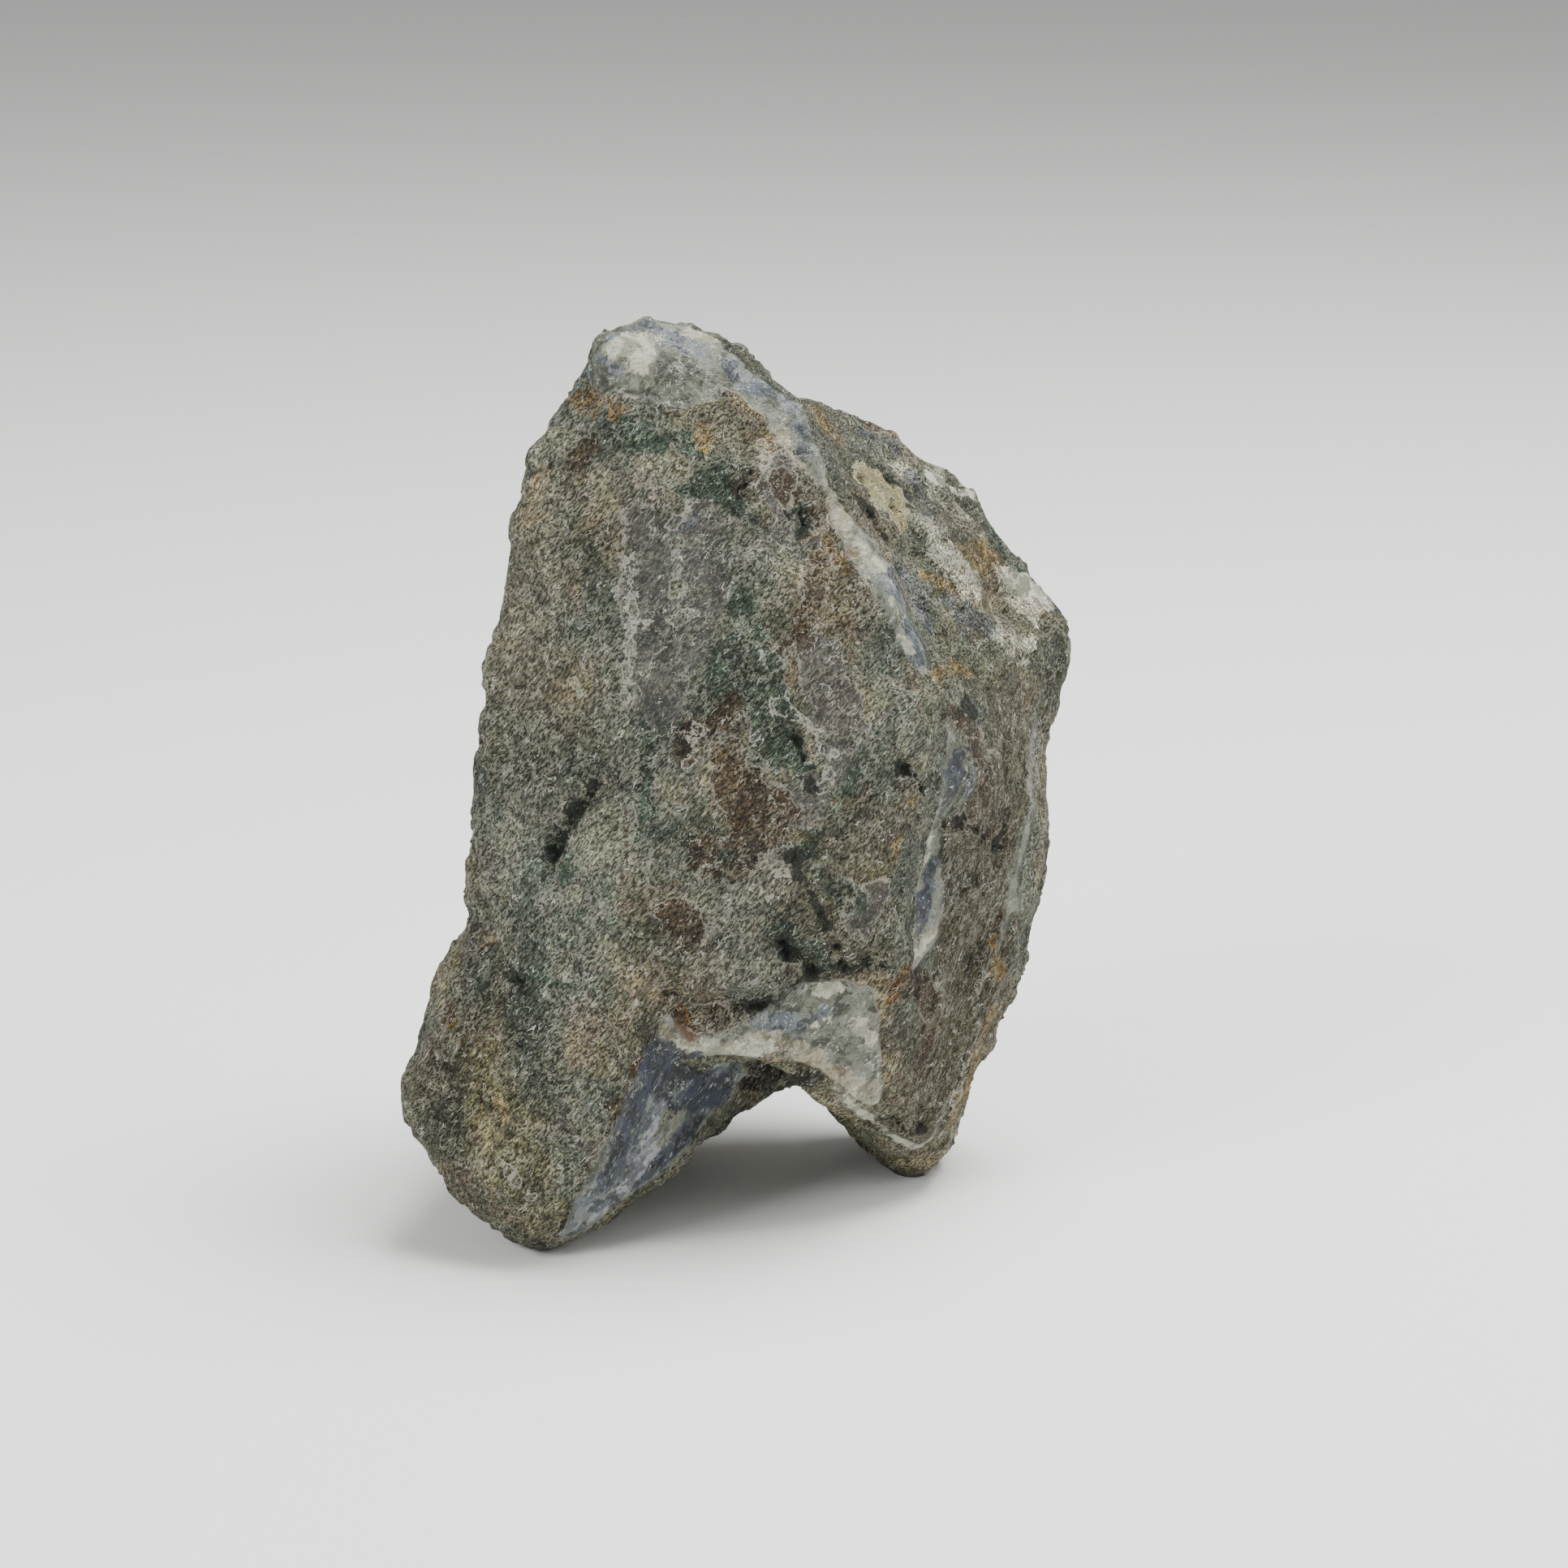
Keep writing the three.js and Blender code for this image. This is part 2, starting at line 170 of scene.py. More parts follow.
# marks are strokes of (across, down, half width) in steps of a sheet as an eye sees the stone,
# from the front unless the group names another azimuth
# a group that names a facing marks only what looks that way, and least is how nearly
strokeMarks = {
    "agate": [
        {"paths": [  # cap, shoulder and the lens down the right side
            [(800, 405, 26), (770, 430, 40), (742, 462, 24)],
            [(830, 415, 30), (870, 442, 32), (920, 470, 20), (966, 506, 22)],
            [(790, 450, 38), (845, 474, 28), (878, 484, 12)],
            [(972, 515, 30), (992, 552, 20), (1012, 590, 9), (1034, 628, 9), (1062, 672, 24),
             (1088, 708, 22), (1110, 742, 30), (1126, 790, 20), (1138, 822, 8)],
            [(1170, 892, 4), (1176, 922, 13), (1177, 952, 23), (1169, 984, 15), (1154, 1016, 6),
             (1147, 1054, 11), (1146, 1090, 20), (1148, 1124, 26), (1140, 1156, 23), (1126, 1184, 12)],
            [(1282, 800, 4), (1278, 880, 6), (1268, 960, 8), (1262, 1040, 8), (1246, 1110, 5),
             (1228, 1170, 3)],
        ]},
        {"paths": [  # lip over the notch
            [(822, 1264, 14), (842, 1288, 20), (880, 1296, 20), (925, 1282, 26), (960, 1268, 32)],
            [(985, 1240, 34), (1030, 1236, 32), (1054, 1240, 20)],
            [(985, 1285, 28), (1030, 1290, 38), (1058, 1322, 28), (1074, 1352, 14)],
            [(1066, 1226, 13), (1069, 1280, 16), (1072, 1340, 14)],
        ], "facing": (-0.1, -0.93, -0.3), "least": 0.1},
        {"paths": [  # notch's wall
            [(815, 1305, 34), (800, 1350, 50), (770, 1420, 50), (738, 1480, 38), (712, 1515, 22)],
            [(875, 1330, 40), (860, 1365, 44), (825, 1410, 40), (780, 1455, 30)],
            [(905, 1325, 20), (880, 1360, 24)],
        ], **notchWall},
        {"paths": [  # vein over the bevel
            [(1028, 1340, 6), (1062, 1370, 7), (1102, 1400, 6), (1132, 1412, 7), (1148, 1402, 6),
             (1160, 1378, 4)],
        ]},
        {"paths": [  # corner under the lip
            [(815, 1302, 12), (835, 1322, 16), (862, 1336, 16), (895, 1334, 14)],
            [(830, 1350, 16), (860, 1365, 16)],
        ]},
        {"azimuth": 270, "paths": [  # left flank
            [(1078, 322, 16), (1086, 390, 20), (1070, 460, 17), (1058, 540, 15), (1056, 630, 11),
             (1062, 730, 17), (1074, 830, 10), (1080, 920, 14), (1084, 1000, 7), (1100, 1080, 9),
             (1108, 1150, 3)],
        ], "facing": (0, 1, 0), "least": -0.15},
        {"azimuth": 180, "paths": [  # veinlets on the back
            [(1095, 302, 12), (1130, 312, 22), (1156, 350, 16), (1172, 400, 8)],
            [(1080, 420, 3), (1010, 560, 6), (960, 700, 4), (900, 820, 6), (850, 930, 3)],
            [(1210, 900, 3), (1170, 1040, 6), (1120, 1180, 3)],
        ]},
    ],
    "blue": [
        {"paths": [
            [(752, 418, 8), (774, 400, 12), (798, 398, 12), (818, 412, 9)],
            [(815, 418, 9), (853, 430, 11), (887, 444, 13), (912, 458, 15), (945, 480, 15), (968, 494, 11)],
            [(742, 438, 8), (757, 463, 7)], [(984, 512, 9), (990, 532, 12), (989, 553, 11)],
            [(1084, 706, 9), (1104, 724, 19), (1122, 744, 21), (1123, 776, 20), (1130, 806, 14)],
            [(1145, 1066, 8), (1142, 1100, 15), (1135, 1134, 14)],
            [(930, 1252, 11), (985, 1262, 13), (1012, 1250, 12)],
        ]},
        {"paths": [
            [(805, 1310, 34), (830, 1335, 40), (885, 1335, 34), (905, 1330, 16)],
            [(800, 1370, 50), (775, 1425, 50), (740, 1480, 36), (714, 1512, 18)],
            [(860, 1375, 24), (830, 1415, 20), (720, 1510, 10)],
        ], **notchWall},
        {"azimuth": 270, "paths": [
            [(1082, 350, 8), (1080, 400, 9), (1066, 480, 9), (1060, 530, 7)],
            [(1058, 700, 7), (1064, 760, 9)], [(1078, 900, 6), (1082, 940, 7)],
        ]},
    ],
    # dark blue agate with painted shade: in the corner under the lip and on the notch's wall it darkens the
    # agate where shade falls; on the right vein it is the agate's own dark blue
    "deep": [
        {"paths": [[(815, 1304, 12), (835, 1322, 14), (862, 1336, 12), (890, 1332, 8)]]},
        {"paths": [
            [(800, 1298, 22), (832, 1322, 40), (858, 1345, 30), (888, 1350, 22)],
            [(784, 1352, 22), (766, 1405, 20), (744, 1460, 12)],
            [(856, 1385, 22), (828, 1418, 16), (780, 1464, 10)],
        ], **notchWall},
        {"paths": [
            [(1144, 1076, 6), (1142, 1104, 11), (1137, 1130, 10)],
            [(1176, 934, 9), (1178, 956, 15), (1169, 984, 9)], [(988, 526, 7), (988, 552, 9)],
            [(1106, 722, 8), (1124, 746, 9)],
        ]},
    ],
    "glassy": [
        {"paths": [
            [(985, 1240, 30), (1030, 1232, 34), (1066, 1246, 24)],
            [(1000, 1262, 20), (1040, 1280, 26), (1060, 1300, 18)], [(930, 1270, 10), (960, 1290, 12)],
            [(800, 470, 22), (850, 470, 28), (895, 474, 14)], [(745, 470, 16), (772, 482, 16)],
            [(830, 440, 14), (880, 456, 12)], [(838, 424, 8), (872, 446, 8), (925, 496, 8)],
            [(965, 540, 10), (1000, 590, 10), (1030, 632, 9)],
            [(1176, 925, 12), (1177, 955, 22), (1168, 986, 14)],
            [(1166, 1092, 12), (1168, 1136, 17), (1160, 1166, 10)],
            [(1094, 712, 10), (1114, 745, 15), (1126, 795, 11)], [(1135, 1150, 12), (1122, 1176, 10)],
        ]},
    ],
    "cream": [
        {"paths": [
            [(750, 430, 9), (775, 424, 18), (798, 420, 13), (788, 450, 9)],
            [(828, 398, 6), (850, 410, 8), (880, 420, 6)], [(1050, 656, 4), (1064, 680, 5), (1080, 698, 5)],
            [(1100, 742, 4), (1108, 756, 4)], [(1112, 780, 4), (1118, 800, 4)],
            [(1150, 1154, 6), (1128, 1174, 8)],
            [(1152, 1008, 4), (1138, 1050, 4), (1126, 1090, 4), (1118, 1130, 4)],
            [(830, 1286, 10), (866, 1298, 13), (905, 1296, 13), (945, 1290, 8)],
            [(1089, 1205, 4), (1090, 1290, 5), (1082, 1352, 7)], [(1035, 1345, 8), (1068, 1360, 10)],
            [(1004, 1222, 8), (1030, 1216, 6)], [(1060, 1262, 9), (1074, 1282, 7)],
            [(1000, 1262, 6), (1016, 1256, 6)],
            [(1028, 1340, 5), (1062, 1370, 5), (1102, 1400, 5), (1132, 1412, 6), (1148, 1402, 5),
             (1160, 1378, 3)],
        ]},
        {"azimuth": 270, "paths": [
            [(1064, 540, 5), (1056, 600, 7)], [(1056, 668, 6), (1054, 700, 5)],
            [(1076, 830, 6), (1074, 870, 5)],
        ]},
        {"azimuth": 180, "paths": [[(1120, 312, 8), (1148, 345, 8)]]},
    ],
    "milk": [
        {"paths": [
            [(820, 1346, 15), (812, 1384, 15)], [(804, 1398, 17), (792, 1440, 20), (770, 1468, 14)],
            [(872, 1352, 8), (886, 1356, 7)], [(742, 1490, 13), (722, 1512, 11)],
            [(850, 1320, 7), (858, 1326, 7)],
        ], **notchWall},
    ],
    "fawn": [
        {"paths": [
            [(816, 1268, 12), (838, 1288, 18), (868, 1298, 18), (912, 1290, 16), (955, 1284, 16)],
            [(985, 1300, 16), (1020, 1325, 18), (1060, 1352, 16)],
            [(1020, 600, 9), (1045, 648, 12), (1062, 676, 15), (1082, 702, 13)],
            [(960, 535, 9), (985, 575, 9)], [(1152, 1150, 10), (1130, 1172, 10)],
        ]},
    ],
    "green": [
        {"paths": [
            [(915, 725, 12), (920, 775, 22), (932, 820, 26), (948, 860, 28), (955, 915, 34),
             (985, 945, 14)],
            [(888, 818, 16), (869, 868, 9)],
            [(925, 580, 10), (905, 625, 12), (880, 590, 26), (845, 605, 16)],
            [(985, 628, 9), (990, 650, 10)],
            [(804, 918, 8), (788, 1002, 7), (787, 1052, 6), (994, 1052, 8), (1058, 937, 8)],
            [(690, 1035, 20), (705, 1075, 16)], [(640, 1195, 14), (700, 1215, 12)],
            [(860, 560, 16), (753, 524, 8)], [(945, 1140, 16), (975, 1165, 22), (1010, 1180, 16)],
            [(1015, 1080, 16), (1050, 1110, 14)], [(1112, 950, 8), (1132, 958, 6)],
        ]},
        {"azimuth": 180, "paths": [
            [(700, 900, 50), (760, 1010, 40), (800, 1120, 30)], [(1150, 620, 36), (1180, 740, 30)],
            [(1010, 1330, 30), (940, 1400, 30)],
        ]},
        {"azimuth": 270, "paths": [
            [(760, 700, 34), (790, 820, 30)], [(900, 1080, 36), (960, 1180, 24)],
            [(1010, 520, 20), (1030, 600, 20)],
        ]},
        {"azimuth": 90, "paths": [
            [(1100, 760, 34), (1120, 860, 26)], [(1180, 1380, 30), (1150, 1470, 24)],
        ]},
    ],
    "brown": [
        {"paths": [
            [(846, 925, 16), (885, 885, 18), (902, 870, 14)],
            [(894, 925, 22), (905, 958, 32), (936, 990, 38), (932, 1034, 36), (908, 1066, 24),
             (868, 1050, 22)],
            [(950, 812, 9), (985, 785, 15), (1000, 745, 14), (1010, 700, 14), (1025, 665, 12)],
            [(830, 1120, 24), (850, 1150, 24)], [(720, 560, 20), (700, 600, 14)],
            [(960, 590, 14), (1000, 640, 14), (1015, 620, 10)],
            [(780, 1313, 9), (760, 1372, 11), (742, 1426, 11), (714, 1480, 11), (699, 1522, 10)],
            [(1163, 1015, 8), (1205, 1018, 10), (1246, 1046, 9)],
            [(1122, 1200, 16), (1150, 1232, 20), (1140, 1290, 24), (1120, 1340, 14)],
            [(862, 1242, 16), (886, 1254, 16)], [(1195, 900, 14), (1160, 870, 12)],
            [(1206, 925, 26), (1214, 985, 24)], [(1238, 1090, 8), (1226, 1150, 10)],
            [(560, 1240, 10), (552, 1290, 8)],
        ]},
        {"azimuth": 180, "paths": [
            [(950, 1150, 50), (1020, 1230, 40)], [(620, 760, 24), (590, 800, 20)],
            [(1300, 1180, 30), (1340, 1260, 26)],
        ]},
        {"azimuth": 270, "paths": [[(820, 950, 34), (860, 1010, 26)], [(700, 1420, 30), (760, 1500, 24)]]},
        {"azimuth": 90, "paths": [
            [(1180, 1130, 34), (1160, 1230, 26)], [(1060, 520, 20), (1090, 580, 16)],
        ]},
    ],
    # painted shadow: near-black laid under the agate lip and down into the notch, where shade falls
    "umber": [
        {"paths": [
            [(908, 1324, 18), (950, 1318, 22), (990, 1330, 18)],
            [(940, 1348, 24), (905, 1382, 22), (862, 1412, 18), (815, 1452, 12), (775, 1484, 8)],
        ]},
    ],
    "rust": [
        {"paths": [
            [(705, 492, 12), (730, 490, 12), (758, 500, 8)],
            [(1010, 665, 10), (1030, 690, 12), (1040, 705, 7)], [(815, 1082, 8), (820, 1096, 6)],
            [(566, 1262, 5), (567, 1295, 6)], [(990, 1316, 5), (1012, 1320, 4), (1028, 1326, 4)],
        ]},
        {"azimuth": 180, "paths": [[(620, 860, 20), (640, 940, 16)], [(1180, 480, 12), (1196, 520, 10)]]},
        {"azimuth": 270, "paths": [[(690, 1190, 16), (720, 1260, 14)]]},
        {"azimuth": 90, "paths": [[(1110, 1480, 16), (1150, 1500, 12)]]},
    ],
    "iron": [
        {"paths": [
            [(838, 1242, 10), (843, 1258, 15), (850, 1276, 10)],
            [(1120, 1184, 11), (1108, 1206, 14), (1096, 1230, 9)],
            [(1206, 1280, 8), (1196, 1310, 10), (1184, 1346, 10), (1172, 1372, 8)],
            [(815, 1084, 7), (820, 1097, 6)],
        ]},
    ],
    "ochre": [
        {"paths": [
            [(1220, 1242, 14), (1206, 1290, 18), (1190, 1340, 18), (1170, 1385, 12)],
            [(1000, 512, 10), (1015, 530, 12), (1030, 546, 10)],
            [(1188, 684, 16), (1210, 686, 22), (1230, 690, 16)], [(1258, 745, 8), (1280, 752, 8)],
            [(1140, 712, 10), (1168, 724, 10)], [(1150, 830, 5), (1190, 824, 8)],
            [(1122, 984, 7), (1104, 1055, 7)],
            [(876, 500, 7), (890, 487, 7), (918, 486, 8), (940, 506, 7), (944, 540, 6)],
            [(866, 520, 5), (868, 560, 5)], [(1214, 1160, 8), (1224, 1200, 7)],
            [(600, 1155, 12), (614, 1164, 12)], [(614, 1368, 9), (622, 1376, 8)],
            [(655, 640, 8), (668, 590, 8)],
        ]},
        {"azimuth": 180, "paths": [[(1250, 1300, 26), (1230, 1340, 20)], [(820, 540, 14), (850, 520, 12)]]},
        {"azimuth": 90, "paths": [[(1230, 1290, 18), (1240, 1340, 14)]]},
    ],
    "tan": [
        {"paths": [[(1062, 590, 20), (1082, 608, 32), (1102, 628, 28)]]},
        {"azimuth": 180, "paths": [[(1060, 1330, 24), (1090, 1370, 20)], [(760, 700, 20), (790, 730, 16)]]},
    ],
    "mauve": [
        {"paths": [
            [(800, 650, 26), (796, 720, 34), (806, 800, 34), (814, 868, 22)],
            [(862, 640, 28), (868, 720, 26), (850, 800, 20)],
            [(950, 600, 24), (965, 570, 14), (960, 660, 16)],
            [(1004, 800, 24), (1028, 880, 34), (1046, 950, 22)], [(985, 1000, 18), (1010, 990, 14)],
            [(960, 980, 14), (1000, 970, 18)], [(1060, 1140, 22), (1080, 1100, 20)],
        ]},
        {"azimuth": 180, "paths": [[(1020, 880, 50), (1080, 970, 40)], [(880, 600, 30), (900, 660, 26)]]},
        {"azimuth": 270, "paths": [[(900, 500, 34), (930, 580, 26)]]},
        {"azimuth": 90, "paths": [[(1200, 960, 36), (1210, 1050, 26)]]},
    ],
    "wan": [
        {"paths": [
            [(690, 600, 26), (672, 680, 36), (662, 780, 40), (655, 900, 40), (655, 1010, 30)],
            [(760, 860, 20), (750, 900, 20)], [(612, 1150, 16), (628, 1172, 12)],
            [(920, 1110, 26), (960, 1070, 20)], [(860, 1185, 20), (900, 1195, 24), (940, 1180, 14)],
            [(1060, 1050, 16), (1030, 1075, 10)], [(768, 760, 14), (774, 830, 14), (768, 862, 10)],
        ]},
        {"azimuth": 180, "paths": [[(700, 560, 40), (640, 660, 40)], [(1250, 900, 60), (1280, 1040, 50)]]},
        {"azimuth": 270, "paths": [[(1100, 700, 50), (1130, 900, 50)], [(720, 1150, 40), (740, 1250, 40)]]},
    ],
    "pale": [
        {"paths": [
            [(1130, 640, 18), (1158, 688, 18), (1200, 728, 14)], [(1150, 610, 12), (1186, 634, 12)],
            [(1075, 560, 10), (1110, 580, 10)], [(1235, 780, 14), (1265, 800, 14)],
            [(1240, 720, 20), (1270, 750, 16)], [(1225, 760, 8), (1240, 805, 8)],
        ]},
        {"azimuth": 180, "paths": [[(850, 620, 30), (900, 700, 24)], [(1180, 1380, 30), (1230, 1420, 24)]]},
        {"azimuth": 270, "paths": [[(980, 800, 26), (1020, 860, 20)]]},
        {"azimuth": 90, "paths": [[(1120, 640, 26), (1150, 690, 20)]]},
    ],
    "crystal": [
        {"paths": [
            [(1240, 712, 12), (1266, 722, 20), (1288, 742, 12)],
            [(1140, 588, 7), (1165, 600, 7), (1190, 612, 5)],
        ]},
    ],
    "slate": [
        {"paths": [
            [(1120, 590, 8), (1130, 610, 12), (1142, 632, 8)],
            [(1060, 536, 12), (1096, 550, 12), (1128, 574, 8)],
            [(1100, 700, 10), (1135, 740, 14), (1140, 775, 12)],
            [(1163, 742, 14), (1185, 764, 17), (1215, 766, 12)], [(1196, 930, 10), (1192, 975, 12)],
            [(845, 650, 10), (870, 640, 8)],
        ]},
    ],
    # painted shade: near-black laid in cracks, pits and holes, where shade falls in them
    "dark": [
        {"paths": [
            [(745, 945, 3), (723, 987, 4), (708, 1014, 6), (692, 1030, 11), (685, 1055, 9)],
            [(928, 582, 4), (917, 600, 6), (906, 622, 6)], [(977, 898, 3), (990, 930, 4), (997, 964, 3)],
            [(988, 1178, 6), (1002, 1194, 6)], [(964, 1162, 7), (975, 1172, 6)],
            [(1028, 1162, 3), (1038, 1190, 4), (1085, 1188, 2)], [(820, 1226, 4), (858, 1230, 4)],
            [(922, 1242, 3), (955, 1232, 5), (976, 1214, 2)],
            [(978, 1054, 3), (984, 1066, 0), (1000, 1104, -3), (1018, 1142, -1)],
            [(1182, 1012, 0), (1206, 1028, 1), (1232, 1046, 2)], [(1089, 586, 6), (1091, 590, 6)],
            [(1070, 608, 2), (1074, 612, 2)], [(1112, 604, 2), (1115, 608, 2)],
            [(1060, 592, 3), (1064, 598, 3)], [(1098, 624, 4), (1103, 632, 4)],
            [(1082, 660, 4), (1062, 628, 4)], [(1096, 1372, 5), (1112, 1384, 4)],
            [(1134, 1384, 5), (1138, 1388, 5)], [(1183, 875, 2), (1201, 876, 2)],
            [(1238, 998, 3), (1236, 1036, 3)], [(1112, 945, 4), (1130, 957, 5), (1132, 968, 4)],
            [(985, 634, 3), (989, 646, 4)], [(641, 1208, 5), (652, 1222, 5)],
        ]},
        {"azimuth": 180, "paths": [
            [(780, 700, 4), (800, 780, 6), (790, 850, 4)],
            [(1120, 1150, 4), (1160, 1240, 7), (1150, 1300, 4)], [(1000, 470, 4), (1040, 520, 6)],
            [(900, 1060, 8), (912, 1074, 6)],
        ]},
        {"azimuth": 270, "paths": [
            [(860, 1000, 4), (884, 1080, 6)], [(1010, 1370, 6), (1030, 1400, 5)],
            [(740, 640, 6), (752, 654, 5)],
        ]},
        {"azimuth": 90, "paths": [[(1090, 1180, 4), (1130, 1290, 6)], [(1010, 640, 5), (1024, 656, 4)]]},
    ],
    "crust": [
        {"paths": [
            [(828, 647, 4), (853, 618, 4), (870, 622, 4)], [(791, 768, 4), (816, 766, 5), (845, 760, 4)],
            [(770, 690, 4), (778, 720, 4), (782, 760, 5), (778, 800, 4), (772, 850, 4)],
            [(705, 838, 4), (715, 850, 4)], [(940, 545, 4), (945, 575, 4), (928, 600, 4)],
            [(962, 864, 5), (985, 883, 4), (1008, 906, 4), (1019, 930, 4)],
            [(1019, 955, 5), (1012, 968, 4)], [(1030, 640, 4), (1052, 672, 4), (1080, 704, 4)],
            [(1119, 664, 4), (1150, 692, 4), (1207, 716, 4)], [(860, 905, 4), (850, 940, 4)],
            [(640, 1455, 5), (614, 1430, 4), (655, 1470, 4)], [(960, 1075, 5), (945, 1100, 5)],
            [(1208, 1190, 3), (1198, 1250, 3), (1186, 1310, 3), (1170, 1376, 3)],
        ]},
    ],
    "olive": [
        {"paths": [
            [(1170, 800, 26), (1205, 832, 32), (1240, 870, 20)], [(680, 620, 24), (660, 700, 20)],
            [(1105, 640, 10), (1135, 690, 10), (1170, 722, 10)],
            [(600, 1330, 40), (640, 1430, 40), (680, 1500, 24)], [(1080, 1070, 20), (1050, 1060, 12)],
            [(1000, 1345, 12), (1050, 1390, 18), (1105, 1428, 18)], [(1236, 1070, 18), (1222, 1140, 20)],
        ]},
        {"azimuth": 180, "paths": [[(700, 1350, 40), (760, 1420, 30)], [(940, 420, 20), (900, 480, 20)]]},
        {"azimuth": 270, "paths": [[(780, 520, 30), (820, 480, 24)]]},
    ],
    "coarse": [
        {"paths": [
            [(600, 1180, 50), (620, 1300, 90), (660, 1420, 80), (690, 1500, 50)],
            [(690, 1190, 50), (740, 1270, 40)], [(560, 1320, 50), (600, 1420, 50)],
            [(950, 1150, 24), (1000, 1170, 24)],
        ]},
        {"azimuth": 270, "paths": [[(1250, 1450, 60), (1150, 1600, 60)]]},
        {"azimuth": 180, "paths": [[(1330, 1350, 60), (1340, 1450, 50)]]},
    ],
    "streak": [
        {"paths": [
            [(1240, 880, 40), (1225, 960, 60), (1205, 1060, 80), (1190, 1180, 90), (1160, 1300, 70),
             (1140, 1390, 40)],
        ], "facing": (0.9, -0.4, 0), "least": 0.2},
    ],
    "rim": [
        {"paths": [[(1276, 880, 20), (1270, 960, 22), (1262, 1040, 22), (1244, 1110, 14)]]},
    ],
}

markSettings = {
    "outside": -1.0,  # m: what a field says where it has no stroke
    "limit": 6,       # mm: it says no more than this, inside or outside
    # mm inside that a mark may be, for each 1 by which the surface looks its way beyond the least, so
    # that it fades out round an edge
    "fadeRound": 8,
}


def surfaceHits(tree, path, azimuth):
    # the points of the surface behind the points of a stroke, with their half widths
    eye, right, up, forward = eyeAt(azimuth, cameraSettings["elevation"])
    half = cameraSettings["sheetSize"] / 2
    step = cameraSettings["sheetStep"] * mm
    hits = []
    for across, down, width in path:
        aim = forward * cameraSettings["distance"] * mm
        aim = aim + right * (across - half) * step + up * (half - down) * step
        place = tree.ray_cast(eye, aim.normalized())[0]
        if place is not None:
            hits.append((np.array(place), width * step))
    return hits


def insideStroke(points, hits):
    # how far each point lies inside a tapering stroke, less than nought outside
    inside = np.full(len(points), markSettings["outside"])
    for (start, startWidth), (end, endWidth) in zip(hits, hits[1:]):
        along = end - start
        share = np.clip((points - start) @ along / (along @ along), 0, 1)
        away = np.linalg.norm(points - start - share[:, None] * along, axis=1)
        inside = np.maximum(inside, startWidth + (endWidth - startWidth) * share - away)
    return inside


def markBody(body):
    # each kind of mark becomes an attribute: how far inside its strokes a vertex lies, in mm
    s = markSettings
    tree = BVHTree.FromObject(body, bpy.context.evaluated_depsgraph_get())
    points = rowsOf(body.data.vertices, "co")
    normals = rowsOf(body.data.vertex_normals, "vector")
    for kind, groups in strokeMarks.items():
        field = np.full(len(points), s["outside"])
        for group in groups:
            best = np.full(len(points), s["outside"])
            for path in group["paths"]:
                hits = surfaceHits(tree, path, group.get("azimuth", 0))
                best = np.maximum(best, insideStroke(points, hits))
            if "facing" in group:
                facing = np.array(group["facing"]) / np.linalg.norm(group["facing"])
                turned = normals @ facing - group["least"]
                best = np.minimum(best, turned * s["fadeRound"] * mm)
            field = np.maximum(field, best)
        layer = body.data.attributes.new(kind, "FLOAT", "POINT")
        layer.data.foreach_set("value", np.clip(field / mm, -s["limit"], s["limit"]).astype(np.float32))


markBody(body)
report("marks")


def addNode(tree, kind, inputs=(), output=0, **settings):
    # one node with its settings; inputs holds values or other nodes' outputs, in order or by socket
    node = tree.nodes.new(kind)
    for name, value in settings.items():
        setattr(node, name, value)
    for socket, value in inputs.items() if isinstance(inputs, dict) else enumerate(inputs):
        if isinstance(value, bpy.types.NodeSocket):
            tree.links.new(value, node.inputs[socket])
        else:
            node.inputs[socket].default_value = value
    return node.outputs if output is None else node.outputs[output]


# the relief of broken rock: swells, chips, rubble, ledges and steps, with calmer agate
reliefSettings = {
    # the tree's inputs, in mm unless a note says otherwise
    "inputs": {
        "Swell height": 1.1,
        "Swell size": 9.0,
        "Rubble height": 0.65,
        "Rubble size": 2.4,
        "Coarse height": 1.8,  # added where the grain is coarse
        "Coarse size": 3.0,
        "Ledge height": 0.55,
        "Ledge size": 11.0,
        "Step height": 0.32,
        "Step size": 5.0,
        "Chip height": 0.12,   # for each mm along a chip
        "Chip size": 6.0,
        "Pit depth": 1.3,
        "Crust height": 0.3,
        "Agate calm": 0.85,    # share of the relief that the agate is without
        "Smooth calm": 0.5,    # and the smooth patches
        "Seed": 4.0,
    },
    "seedStep": 10.0,  # between the seeds of two noises
    # how fine the noises are: detail and roughness
    "noises": {"Swell": (2.0, 0.5), "Rubble": (3.0, 0.65), "Coarse": (2.0, 0.6), "Ledge": (4.0, 0.6),
               "Step": (3.0, 0.55)},
    # the noise's values between which it climbs from a foot to a head
    "climbs": {"Ledge": (-0.01, 0.015), "Step": (0.0, 0.015)},
    # the edges that the material paints with a pale highlight: their noise, its value there and how far it
    # may be off
    "edges": {"ledgeEdge": ("Ledge", 0.02, 0.022), "stepEdge": ("Step", 0.02, 0.016)},
    # where a mark starts and is full, in mm inside its strokes
    "marks": {"agate": (-1.0, 0.5), "mauve": (-0.5, 1.5), "rim": (-0.5, 1.5), "dark": (-0.1, 0.5),
              "crust": (-0.2, 0.3), "coarse": (-1.0, 3.0)},
    "raggedness": 4.0,            # mm that those places wander with the rubble's noise
    "chipBend": (0.4, 3.0, 4.5),  # what bends the chips' outlines: waves in a mm, detail, reach in mm
    "groundFade": (0.2, 3.0),     # mm above the ground where the relief starts and is full
}


